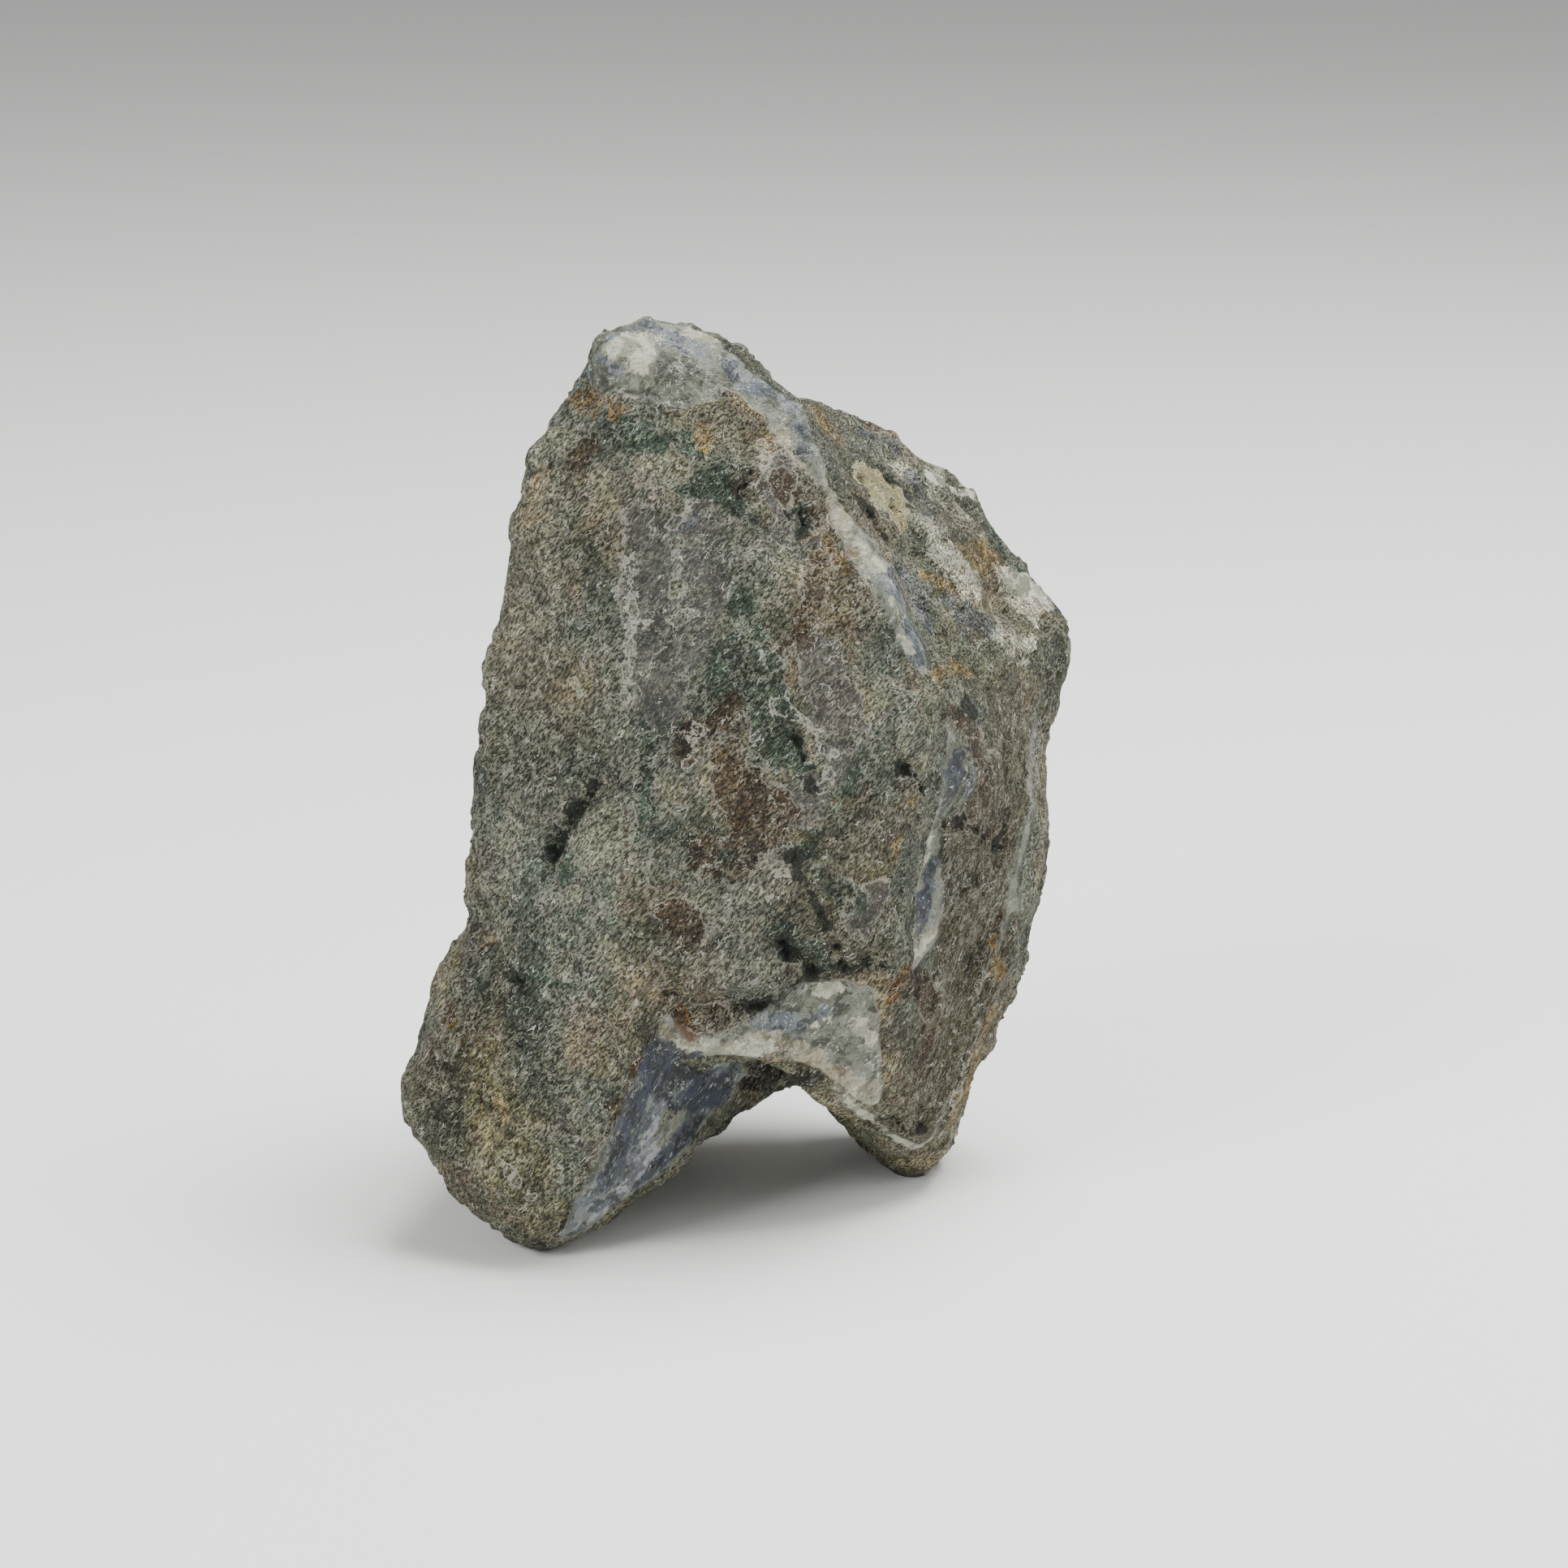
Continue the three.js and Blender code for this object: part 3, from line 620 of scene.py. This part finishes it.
def reliefTree():
    s = reliefSettings
    tree = bpy.data.node_groups.new("brokenRockRelief", "GeometryNodeTree")
    tree.interface.new_socket("Geometry", in_out="INPUT", socket_type="NodeSocketGeometry")
    tree.interface.new_socket("Geometry", in_out="OUTPUT", socket_type="NodeSocketGeometry")
    for name, value in s["inputs"].items():
        tree.interface.new_socket(name, in_out="INPUT", socket_type="NodeSocketFloat").default_value = value
    tree.interface.new_socket("Material", in_out="INPUT", socket_type="NodeSocketMaterial")
    add = functools.partial(addNode, tree)
    given = add("NodeGroupInput", output=None)
    place = add("GeometryNodeInputPosition")
    inMm = add("ShaderNodeVectorMath", {0: place, "Scale": 1 / mm}, operation="SCALE")

    # noises around nought
    lumps = {}
    for name, (detail, roughness) in s["noises"].items():
        scale = add("ShaderNodeMath", (1.0, given[f"{name} size"]), operation="DIVIDE")
        seed = add("ShaderNodeMath", (given["Seed"], s["seedStep"] * len(lumps)), operation="ADD")
        raw = add("ShaderNodeTexNoise", {"Vector": inMm, "W": seed, "Scale": scale, "Detail": detail,
                                         "Roughness": roughness}, noise_dimensions="4D")
        lumps[name] = add("ShaderNodeMath", (raw, 0.5), operation="SUBTRACT")

    # flat chips, each tilted its own way, with a step between neighbours
    scale = add("ShaderNodeMath", (1.0, given["Chip size"]), operation="DIVIDE")
    waves, detail, reach = s["chipBend"]
    bend = add("ShaderNodeTexNoise", {"Vector": inMm, "Scale": waves, "Detail": detail}, output="Color")
    bent = add("ShaderNodeVectorMath", (bend, [reach] * 3, inMm), operation="MULTIPLY_ADD")
    cell = add("ShaderNodeTexVoronoi", {"Vector": bent, "Scale": scale}, output=None)
    tilt = add("ShaderNodeVectorMath", (cell["Color"], [0.5] * 3), operation="SUBTRACT")
    along = add("ShaderNodeVectorMath", (bent, cell["Position"]), operation="SUBTRACT")
    rise = add("ShaderNodeVectorMath", (along, tilt), output="Value", operation="DOT_PRODUCT")

    marked = {}
    for name, (low, high) in s["marks"].items():
        field = add("GeometryNodeInputNamedAttribute", {"Name": name}, data_type="FLOAT")
        field = add("ShaderNodeMath", (lumps["Rubble"], s["raggedness"], field), operation="MULTIPLY_ADD")
        marked[name] = add("ShaderNodeMapRange", (field, low, high), interpolation_type="SMOOTHSTEP")

    # broken rock, then less of it on the agate and on the smooth patches
    climb = {}
    for name, (foot, head) in s["climbs"].items():
        climb[name] = add("ShaderNodeMapRange", (lumps[name], foot, head))
    coarse = add("ShaderNodeMath", (lumps["Coarse"], marked["coarse"]), operation="MULTIPLY")
    rough = add("ShaderNodeMath", (lumps["Rubble"], given["Rubble height"]), operation="MULTIPLY")
    for part, height in ((coarse, "Coarse height"), (climb["Ledge"], "Ledge height"),
                         (climb["Step"], "Step height"), (rise, "Chip height")):
        rough = add("ShaderNodeMath", (part, given[height], rough), operation="MULTIPLY_ADD")
    for part, calm in (("agate", "Agate calm"), ("mauve", "Smooth calm"), ("rim", "Smooth calm")):
        lost = add("ShaderNodeMath", (marked[part], given[calm]), operation="MULTIPLY")
        lost = add("ShaderNodeMath", (rough, lost), operation="MULTIPLY")
        rough = add("ShaderNodeMath", (rough, lost), operation="SUBTRACT")
    lost = add("ShaderNodeMath", (marked["agate"], given["Agate calm"]), operation="MULTIPLY")
    kept = add("ShaderNodeMath", (1.0, lost), operation="SUBTRACT")
    swell = add("ShaderNodeMath", (lumps["Swell"], given["Swell height"]), operation="MULTIPLY")
    height = add("ShaderNodeMath", (swell, kept, rough), operation="MULTIPLY_ADD")
    pit = add("ShaderNodeMath", (marked["dark"], given["Pit depth"]), operation="MULTIPLY")
    height = add("ShaderNodeMath", (height, pit), operation="SUBTRACT")
    crust = add("ShaderNodeMath", (marked["crust"], given["Crust height"]), operation="MULTIPLY")
    height = add("ShaderNodeMath", (height, crust), operation="ADD")

    # the relief dies away towards the ground, so the flats stay flat, and turns from mm to m
    level = add("ShaderNodeSeparateXYZ", (inMm,), output="Z")
    level = add("ShaderNodeMapRange", (level, *s["groundFade"], 0.0, mm))
    height = add("ShaderNodeMath", (height, level), operation="MULTIPLY")
    normal = add("GeometryNodeInputNormal")
    offset = add("ShaderNodeVectorMath", {0: normal, "Scale": height}, operation="SCALE")

    # what the material reads
    stored = {"chipTone": add("ShaderNodeSeparateXYZ", (cell["Color"],))}
    for name, (noise, middle, reach) in s["edges"].items():
        stored[name] = add("ShaderNodeMath", (lumps[noise], middle, reach), operation="COMPARE")
    made = given["Geometry"]
    for name, value in stored.items():
        made = add("GeometryNodeStoreNamedAttribute", {"Geometry": made, "Name": name, "Value": value},
                   data_type="FLOAT", domain="POINT")
    made = add("GeometryNodeSetPosition", {"Geometry": made, "Offset": offset})
    made = add("GeometryNodeRealizeInstances", (made,))
    made = add("GeometryNodeSetMaterial", {"Geometry": made, "Material": given["Material"]})
    output = tree.nodes.new("NodeGroupOutput")
    tree.links.new(made, output.inputs[0])
    return tree


# host rock: altered grey-green lava, broken and weathered, dull and crumbly, with grains, crusts and rust
# lace agate: chalcedony in a vein, waxy where it broke, banded in pale blue, lilac grey and milky white
rockSettings = {
    # the rock's tones from low to high in the noise that lays out its patches
    "tones": [(0.38, "414539"), (0.43, "53564a"), (0.475, "5e5c48"), (0.48, "555c4c"), (0.515, "616153"),
              (0.52, "5f584d"), (0.56, "686455"), (0.61, "747059")],
    # noises: size in mm along x, y and z, turn about y in degrees, detail, roughness and bend
    "noises": {
        "patch": ((8, 8, 8), 0, 7.0, 0.56, 0.0),
        "middling": ((5, 5, 5), 0, 5.0, 0.62, 0.0),
        "small": ((1.8, 1.8, 1.8), 0, 4.0, 0.65, 0.0),
        "tiny": ((0.27, 0.27, 0.7), 40, 2.0, 0.65, 0.2),   # grain, drawn as coarse as it has to be to show
        "plates": ((0.55, 0.55, 1.2), 40, 1.5, 0.6, 0.4),  # weathered scales, which lean one way
        "streaks": ((0.6, 0.9, 6), 22, 3.0, 0.6, 0.3),     # slickenlines down the right side
        "crack": ((7, 7, 7), 0, 5.0, 0.6, 0.4),
        "scratch": ((1.1, 1.1, 3.0), 35, 3.0, 0.55, 0.8),
        "cloud": ((2.6, 2.6, 4.0), 20, 4.0, 0.6, 0.6),
        "broad": ((15, 15, 15), 0, 4.0, 0.6, 0.5),
        "clump": ((2.6, 2.6, 3.4), 30, 4.0, 0.6, 0.9),
        "region": ((17, 17, 24), -20, 2.0, 0.5, 0.5),
    },
    # thin lines run where a noise crosses its middle
    "lines": {"crease": "plates", "crevice": "crack", "fleck": "scratch", "vein": "clump",
              "groove": "streaks"},
    "flakeSize": 2.2,              # mm
    "flakeBend": (0.6, 3.0, 5.0),  # what bends the flakes' outlines: waves in a mm, detail, reach in mm
    # where a pattern goes over from the darker to the lighter tone of a mark
    "partings": {"cloud": (0.44, 0.54), "small": (0.4, 0.6), "flake": (0.3, 0.7),
                 "streaks": (0.42, 0.58)},
    # mm that the marks' edges wander with each noise
    "ragged": {"middling": 8.0, "small": 4.0, "tiny": 1.0, "flake": 1.0},
    # marks on the rock: darker and lighter tone, the pattern that parts them, strength, share of the
    # wandering that the edge takes, and softness of the edge in mm
    "stains": {
        "mauve": ("403f3c", "504f4b", "cloud", 0.8, 0.7, 0.25),
        "olive": ("4c4b2e", "63623f", "small", 0.55, 1.3, 1.0),
        "streak": ("2e2a1d", "47422e", "streaks", 0.92, 1.0, 1.0),
        "brown": ("2d2114", "45341f", "small", 0.85, 0.8, 0.4),
        "green": ("1f2e24", "39493a", "small", 0.85, 0.85, 0.3),
        "rust": ("49330f", "6e5422", "small", 0.75, 1.3, 0.4),
        "iron": ("402603", "5f3d0a", "small", 0.88, 0.4, 0.3),
        "ochre": ("5f4c24", "8d7440", "small", 0.75, 0.8, 0.35),
        "wan": ("66665a", "84836f", "small", 0.5, 1.2, 1.5),
        "tan": ("9a9168", "b0a982", "small", 0.95, 0.5, 0.15),
        "pale": ("858570", "b0ae98", "flake", 0.8, 1.0, 0.15),
        "slate": ("3c4144", "5a6164", "flake", 0.75, 0.8, 0.2),
        "rim": ("5a6152", "767b6b", "streaks", 0.7, 0.8, 0.5),
        # painted shadow under the lip, near black
        "umber": ("0c0805", "1c140b", "small", 0.95, 0.7, 0.3),
    },
    "crusts": {
        "crystal": ("8c8b78", "d2d1bf", "flake", 0.92, 0.5, 0.15),
    },
    # marks on the agate, in the same way
    "agateMarks": {
        "glassy": ("2e3126", "545847", "cloud", 0.92, 0.8, 0.2),
        "fawn": ("625d47", "959077", "cloud", 0.9, 0.8, 0.2),
        "blue": ("2b323a", "535c64", "flake", 0.9, 0.7, 0.2),
        "milk": ("5c5f67", "9a9ba1", "flake", 0.9, 1.0, 0.15),
        "cream": ("83836e", "b6b49e", "cloud", 0.9, 0.7, 0.2),
        # dark blue agate, darkened further as painted shade on the notch's wall and under the lip
        "deep": ("090e18", "1f2a3c", "flake", 0.95, 0.8, 0.3),
    },
    # marks without tones of their own: strength, share of the wandering and softness
    "plainMarks": {"agate": (1.0, 0.25, 0.25), "dark": (0.88, 1.25, 0.15), "crust": (1.0, 0.7, 0.1)},
    # how the rock's hue drifts over the stone, as gains of red, green and blue between two noise values
    "regions": (0.42, 0.58),
    "regionGains": ((0.92, 1.02, 1.08), (1.08, 0.99, 0.87)),
    # how a pattern changes the rock's brightness: its lowest and highest, and the gain at each; tiny,
    # small, flake and crease follow the bump's heights, so besides grain they paint shade into the fine
    # hollows and light onto the crests
    "gains": {
        "tiny": (0.43, 0.57, 0.3, 1.7),
        "plates": (0.4, 0.6, 0.72, 1.28),
        "crease": (0.0, 0.03, 0.6, 1.06),
        "small": (0.44, 0.56, 0.9, 1.1),
        "flake": (0.0, 1.0, 0.88, 1.12),
        "chipTone": (0.0, 1.0, 0.88, 1.12),
        "broad": (0.4, 0.6, 0.65, 1.17),
    },
    # coarse grain: mm inside its strokes where it starts and is full, and what its clumps add to the gain
    "coarse": (-1.0, 3.0),
    "clumps": (0.004, 0.05, -0.6, 0.22),
    "calmed": {"mauve": 0.5, "streak": 0.6, "tan": 0.6},  # share of the gain that these marks are without
    "pores": (0.34, 0.39),  # the small noise's value that pores lie below, in fine and in coarse grain
    "poresLost": 0.8,       # share of the pores that the streaks are without
    # spots and lines: lowest and highest of the pattern, share at each, the noise that thins them out
    # with the values where they start and are full, and colour
    "spots": {
        "groove": (0.006, 0.016, 0.7, 0.0, None, 0, 0, "a5a596"),
        "pore": (-0.008, 0.008, 0.6, 0.0, None, 0, 0, "20241d"),
        # crevice lines: thin painted shade along cracks that the surface does not have
        "crevice": (0.002, 0.005, 0.75, 0.0, "middling", 0.5, 0.54, "20211a"),
        # white flecks: painted glints, small highlights
        "fleck": (0.006, 0.014, 0.9, 0.0, "small", 0.5, 0.54, "c6c6b9"),
        "crease": (0.004, 0.01, 0.5, 0.0, "small", 0.53, 0.5, "a5a596"),
        # pale tone along ledge and step edges: painted highlight on the edges
        "ledgeEdge": (0.3, 0.7, 0.0, 0.35, "tiny", 0.47, 0.53, "94937f"),
        "stepEdge": (0.3, 0.7, 0.0, 0.3, "tiny", 0.47, 0.53, "94937f"),
    },
    # patches that end in a thin pale crust, and how strong it is
    "rims": {"mauve": 0.6, "green": 0.5, "tan": 0.6, "brown": 0.5, "agate": 0.7, "crust": 0.95},
    "rimWidth": (0.08, 0.25),   # mm from the edge where it starts to thin out and where it ends
    "rimBreaks": (0.49, 0.52),  # the patch noise's values between which it comes in
    "rimColour": "a9a899",
    # the agate's own tones and what lies over its marks: lowest and highest of the pattern, share at each
    "agate": ("3f4338", "6b6e61"),
    "bandSpacing": 1.6,             # mm across the vein's lace
    "bandBend": 12.0,               # mm that the lace wanders with the middling noise
    "lace": (0.4, 0.8, 0.0, 0.22),
    "milky": (0.8, 0.84, 0.0, 0.3),
    "laceLost": 0.75,               # share of both that the dark blue agate and its painted shade are without
    "grit": (0.36, 0.48, 0.4, 0.0),
    "agateGlints": 0.7,               # strength of the painted glints on the agate
    "milkColour": "96988a",
    # white of the painted glints on the agate
    "gritColour": "2f312b",
    "glintColour": "cfd0c6",
    "rustFilm": "523d14",
    "ironFilm": "4e2f06",
    # near-black of the painted shade in cracks and pits
    "dark": "151a15",
    # gloss: roughness of each, and chalcedony's index, with a weaker shine than a polished face has
    "rockRoughness": 0.88,
    "agateRoughness": 0.42,
    "specular": 0.3,
    "ior": 1.54,
    # relief finer than the mesh: heights in mm of the creases and of each pattern
    "creaseBump": (0.0, 0.04, 0.0, 0.12),
    "bumps": {"small": 1.0, "tiny": 0.7, "flake": 0.25},
    "agateBump": 0.3,               # share of it that is left on the agate
}


def layPatterns(add, place, inMm):
    # every noise and line by name, with what the mesh carries about its chips, edges and coarse grain
    s = rockSettings
    pattern = {}
    for name, (size, turn, detail, roughness, bend) in s["noises"].items():
        laid = add("ShaderNodeMapping", {"Vector": place, "Rotation": (0, math.radians(turn), 0),
                                         "Scale": [length * mm for length in size]}, vector_type="TEXTURE")
        pattern[name] = add("ShaderNodeTexNoise", {"Vector": laid, "Scale": 1.0, "Detail": detail,
                                                   "Roughness": roughness, "Distortion": bend})
    waves, detail, reach = s["flakeBend"]
    bend = add("ShaderNodeTexNoise", {"Vector": inMm, "Scale": waves, "Detail": detail}, output="Color")
    bent = add("ShaderNodeVectorMath", (bend, [reach] * 3, inMm), operation="MULTIPLY_ADD")
    flake = add("ShaderNodeTexVoronoi", {"Vector": bent, "Scale": 1 / s["flakeSize"]}, output="Color")
    pattern["flake"] = add("ShaderNodeSeparateXYZ", (flake,))
    for name in ("chipTone", "ledgeEdge", "stepEdge"):
        pattern[name] = add("ShaderNodeAttribute", attribute_name=name, output="Fac")
    for name, noise in s["lines"].items():
        away = add("ShaderNodeMath", (pattern[noise], 0.5), operation="SUBTRACT")
        pattern[name] = add("ShaderNodeMath", (away,), operation="ABSOLUTE")
    coarse = add("ShaderNodeAttribute", attribute_name="coarse", output="Fac")
    pattern["coarse"] = add("ShaderNodeMapRange", (coarse, *s["coarse"]))
    level = add("ShaderNodeMapRange", (coarse, *s["coarse"], *s["pores"]))
    pattern["pore"] = add("ShaderNodeMath", (pattern["small"], level), operation="SUBTRACT")
    return pattern


def markShares(add, pattern):
    # how far inside each mark's ragged edge a point lies, in mm, and how strongly the mark shows there
    s = rockSettings
    wander = -sum(s["ragged"].values()) / 2
    for name, reach in s["ragged"].items():
        wander = add("ShaderNodeMath", (pattern[name], reach, wander), operation="MULTIPLY_ADD")
    edge, share = {}, {}
    for marks in (s["stains"], s["crusts"], s["agateMarks"], s["plainMarks"]):
        for name, (*_, strength, reach, soft) in marks.items():
            field = add("ShaderNodeAttribute", attribute_name=name, output="Fac")
            edge[name] = add("ShaderNodeMath", (wander, reach, field), operation="MULTIPLY_ADD")
            share[name] = add("ShaderNodeMapRange", (edge[name], -soft, soft, 0.0, strength))
    return edge, share


def paintMarks(add, colour, marks, parting, share):
    # each mark's two tones, parted by its pattern, over what is there
    for name, (dark, light, split, *_) in marks.items():
        tone = add("ShaderNodeMix", {0: parting[split], 6: linearFrom(dark), 7: linearFrom(light)},
                   output=2, data_type="RGBA")
        colour = add("ShaderNodeMix", {0: share[name], 6: colour, 7: tone}, output=2, data_type="RGBA")
    return colour


def grainAndReliefShadeGain(add, pattern, share):
    # grains, scales and chips change the brightness of what they lie in, less on the smooth patches; where
    # the same patterns make the bump, this is painted shade in the hollows and painted light on the crests
    s = rockSettings
    gain = 1.0
    for name, (low, high, least, most) in s["gains"].items():
        level = add("ShaderNodeMapRange", (pattern[name], low, high, least, most))
        gain = add("ShaderNodeMath", (gain, level), operation="MULTIPLY")
    clump = add("ShaderNodeMapRange", (pattern["vein"], *s["clumps"]))
    clump = add("ShaderNodeMath", (clump, pattern["coarse"], 1.0), operation="MULTIPLY_ADD")
    gain = add("ShaderNodeMath", (gain, clump), operation="MULTIPLY")
    calm = 1.0
    for name, lost in s["calmed"].items():
        calm = add("ShaderNodeMath", (share[name], -lost, calm), operation="MULTIPLY_ADD")
    gain = add("ShaderNodeMath", (gain, 1.0), operation="SUBTRACT")
    return add("ShaderNodeMath", (gain, calm, 1.0), operation="MULTIPLY_ADD")


def spotShares(add, pattern, share):
    # pores, crevices painted as shade, white flecks painted as glints, the pale edges of scales, pale edges
    # of ledges and steps painted as highlights, and scored lines in the streaks
    s = rockSettings
    spots = {}
    for name, (low, high, start, end, thinner, thin, thick, _) in s["spots"].items():
        spots[name] = add("ShaderNodeMapRange", (pattern[name], low, high, start, end))
        if thinner:
            kept = add("ShaderNodeMapRange", (pattern[thinner], thin, thick))
            spots[name] = add("ShaderNodeMath", (spots[name], kept), operation="MULTIPLY")
    spots["groove"] = add("ShaderNodeMath", (spots["groove"], share["streak"]), operation="MULTIPLY")
    rarer = add("ShaderNodeMath", (share["streak"], -s["poresLost"], 1.0), operation="MULTIPLY_ADD")
    spots["pore"] = add("ShaderNodeMath", (spots["pore"], rarer), operation="MULTIPLY")
    return spots


def rimShares(add, pattern, edge):
    # the thin crusts along the patches' edges, broken here and there, and the crusts that are whole
    s = rockSettings
    kept = add("ShaderNodeMapRange", (pattern["patch"], *s["rimBreaks"]))
    rims = {}
    for name, strength in s["rims"].items():
        away = add("ShaderNodeMath", (edge[name],), operation="ABSOLUTE")
        rims[name] = add("ShaderNodeMapRange", (away, *s["rimWidth"], strength, 0.0))
        if name != "crust":
            rims[name] = add("ShaderNodeMath", (rims[name], kept), operation="MULTIPLY")
    return rims


def rockColour(add, pattern, parting, edge, share, spots):
    s = rockSettings
    ramp = add("ShaderNodeValToRGB", (pattern["patch"],))
    elements = ramp.node.color_ramp.elements
    while len(elements) < len(s["tones"]):
        elements.new(0.5)
    for element, (position, hexColour) in zip(elements, s["tones"]):
        element.position = position
        element.color = linearFrom(hexColour)
    region = add("ShaderNodeMapRange", (pattern["region"], *s["regions"]))
    cool, warm = s["regionGains"]
    drift = add("ShaderNodeMix", {0: region, 4: cool, 5: warm}, output=1, data_type="VECTOR")
    rock = add("ShaderNodeVectorMath", (ramp, drift), operation="MULTIPLY")
    rock = paintMarks(add, rock, s["stains"], parting, share)
    gain = grainAndReliefShadeGain(add, pattern, share)
    rock = add("ShaderNodeVectorMath", {0: rock, "Scale": gain}, operation="SCALE")
    laid = [(spots[name], colour) for name, (*_, colour) in s["spots"].items()]
    laid += [(rim, s["rimColour"]) for rim in rimShares(add, pattern, edge).values()]
    for part, colour in laid:
        rock = add("ShaderNodeMix", {0: part, 6: rock, 7: linearFrom(colour)}, output=2, data_type="RGBA")
    return paintMarks(add, rock, s["crusts"], parting, share)


def agateColour(add, inMm, pattern, parting, share, fleck):
    # clouds and angular patches, with lace bands along the vein, white glints painted along scratches, and
    # films of rust
    s = rockSettings
    dark, light = s["agate"]
    agate = add("ShaderNodeMix", {0: parting["cloud"], 6: linearFrom(dark), 7: linearFrom(light)},
                output=2, data_type="RGBA")
    agate = paintMarks(add, agate, s["agateMarks"], parting, share)
    across = add("ShaderNodeSeparateXYZ", (inMm,), output="Y")
    across = add("ShaderNodeMath", (pattern["middling"], s["bandBend"], across), operation="MULTIPLY_ADD")
    across = add("ShaderNodeMath", (across, 2 * math.pi / s["bandSpacing"]), operation="MULTIPLY")
    wave = add("ShaderNodeMath", (across,), operation="SINE")
    quiet = add("ShaderNodeMath", (share["deep"], -s["laceLost"], 1.0), operation="MULTIPLY_ADD")
    laid = []
    for field, name in ((wave, "lace"), (pattern["flake"], "milky")):
        part = add("ShaderNodeMapRange", (field, *s[name]))
        part = add("ShaderNodeMath", (part, quiet), operation="MULTIPLY")
        laid.append((part, s["milkColour"]))
    laid.append((add("ShaderNodeMapRange", (pattern["tiny"], *s["grit"])), s["gritColour"]))
    # painted glints along the agate's scratches
    scratch = add("ShaderNodeMath", (fleck, s["agateGlints"]), operation="MULTIPLY")
    laid += [(scratch, s["glintColour"]), (share["rust"], s["rustFilm"]), (share["iron"], s["ironFilm"])]
    for part, colour in laid:
        agate = add("ShaderNodeMix", {0: part, 6: agate, 7: linearFrom(colour)}, output=2, data_type="RGBA")
    return agate


def fineHeight(add, pattern, share):
    # grains, scales and flakes finer than the mesh, in mm
    s = rockSettings
    height = add("ShaderNodeMapRange", (pattern["crease"], *s["creaseBump"]))
    for name, size in s["bumps"].items():
        height = add("ShaderNodeMath", (pattern[name], size, height), operation="MULTIPLY_ADD")
    left = add("ShaderNodeMapRange", (share["agate"], 0.0, 1.0, 1.0, s["agateBump"]))
    return add("ShaderNodeMath", (height, left), operation="MULTIPLY")


def stoneMaterial():
    s = rockSettings
    material = bpy.data.materials.new("hostRockWithLaceAgate")
    material.use_nodes = True
    tree = material.node_tree
    shader = tree.nodes["Principled BSDF"]
    add = functools.partial(addNode, tree)
    place = add("ShaderNodeTexCoord", output="Object")
    inMm = add("ShaderNodeMapping", {"Vector": place, "Scale": [1 / mm] * 3})
    pattern = layPatterns(add, place, inMm)
    parting = {}
    for name, (low, high) in s["partings"].items():
        parting[name] = add("ShaderNodeMapRange", (pattern[name], low, high))
    edge, share = markShares(add, pattern)
    spots = spotShares(add, pattern, share)
    rock = rockColour(add, pattern, parting, edge, share, spots)
    agate = agateColour(add, inMm, pattern, parting, share, spots["fleck"])
    colour = add("ShaderNodeMix", {0: share["agate"], 6: rock, 7: agate}, output=2, data_type="RGBA")
    # painted shade in cracks and pits over everything
    colour = add("ShaderNodeMix", {0: share["dark"], 6: colour, 7: linearFrom(s["dark"])}, output=2,
                 data_type="RGBA")
    tree.links.new(colour, shader.inputs["Base Color"])
    gloss = (share["agate"], 0.0, 1.0, s["rockRoughness"], s["agateRoughness"])
    tree.links.new(add("ShaderNodeMapRange", gloss), shader.inputs["Roughness"])
    shader.inputs["Specular IOR Level"].default_value = s["specular"]
    shader.inputs["IOR"].default_value = s["ior"]
    height = fineHeight(add, pattern, share)
    normal = add("ShaderNodeBump", {"Height": height, "Strength": 1.0, "Distance": mm})
    tree.links.new(normal, shader.inputs["Normal"])
    return material


def carveStone(body, material):
    modifier = body.modifiers.new("relief", "NODES")
    modifier.node_group = reliefTree()
    inputs = modifier.node_group.interface.items_tree
    sockets = {item.name: item.identifier for item in inputs if item.in_out == "INPUT"}
    for name, value in reliefSettings["inputs"].items():
        modifier[sockets[name]] = value
    modifier[sockets["Material"]] = material
    stone = plainMesh(body, "geode_stone")
    points = rowsOf(stone.data.vertices, "co")
    points[:, 2] = np.maximum(points[:, 2], 0)
    moveVertices(stone.data, points)
    stone.data.shade_smooth()
    return stone


stone = carveStone(body, stoneMaterial())
report(f"stone, {sum(len(face.vertices) - 2 for face in stone.data.polygons)} triangles")

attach(stone, "root")
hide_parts("geode")


# a plain pale floor and soft lights
stageSettings = {
    "floorSize": 6.0,  # m
    "floorColour": "f2f2f0",
    "floorRoughness": 0.9,
    "skyColour": "ffffff",
    "skyStrength": 0.38,
    # each lamp's place in mm, size in mm and power in watts
    "lamps": {
        "overhead": ((260, 60, 900), 600, 18),
        "front": ((-700, -700, 640), 420, 9.5),
        "right": ((800, -100, 400), 500, 2.0),
    },
}


def makeFloor():
    s = stageSettings
    bpy.ops.mesh.primitive_plane_add(size=s["floorSize"], location=(0, 0, 0))
    floor = bpy.context.object
    floor.name = "floor"
    pale = bpy.data.materials.new("palePaper")
    pale.use_nodes = True
    shader = pale.node_tree.nodes["Principled BSDF"]
    shader.inputs["Base Color"].default_value = linearFrom(s["floorColour"])
    shader.inputs["Roughness"].default_value = s["floorRoughness"]
    floor.data.materials.append(pale)


def makeLights():
    s = stageSettings
    for name, (place, size, power) in s["lamps"].items():
        lamp = bpy.data.lights.new(name, "AREA")
        lamp.shape = "SQUARE"
        lamp.size = size * mm
        lamp.energy = power
        holder = bpy.data.objects.new(name, lamp)
        holder.location = Vector(place) * mm
        aim = Vector(cameraSettings["target"]) * mm - holder.location
        holder.rotation_euler = aim.to_track_quat("-Z", "Y").to_euler()
        bpy.context.scene.collection.objects.link(holder)
    world = bpy.data.worlds.new("studio")
    world.use_nodes = True
    sky = world.node_tree.nodes["Background"]
    sky.inputs["Color"].default_value = linearFrom(s["skyColour"])
    sky.inputs["Strength"].default_value = s["skyStrength"]
    bpy.context.scene.world = world


makeFloor()
makeLights()
report("stage")
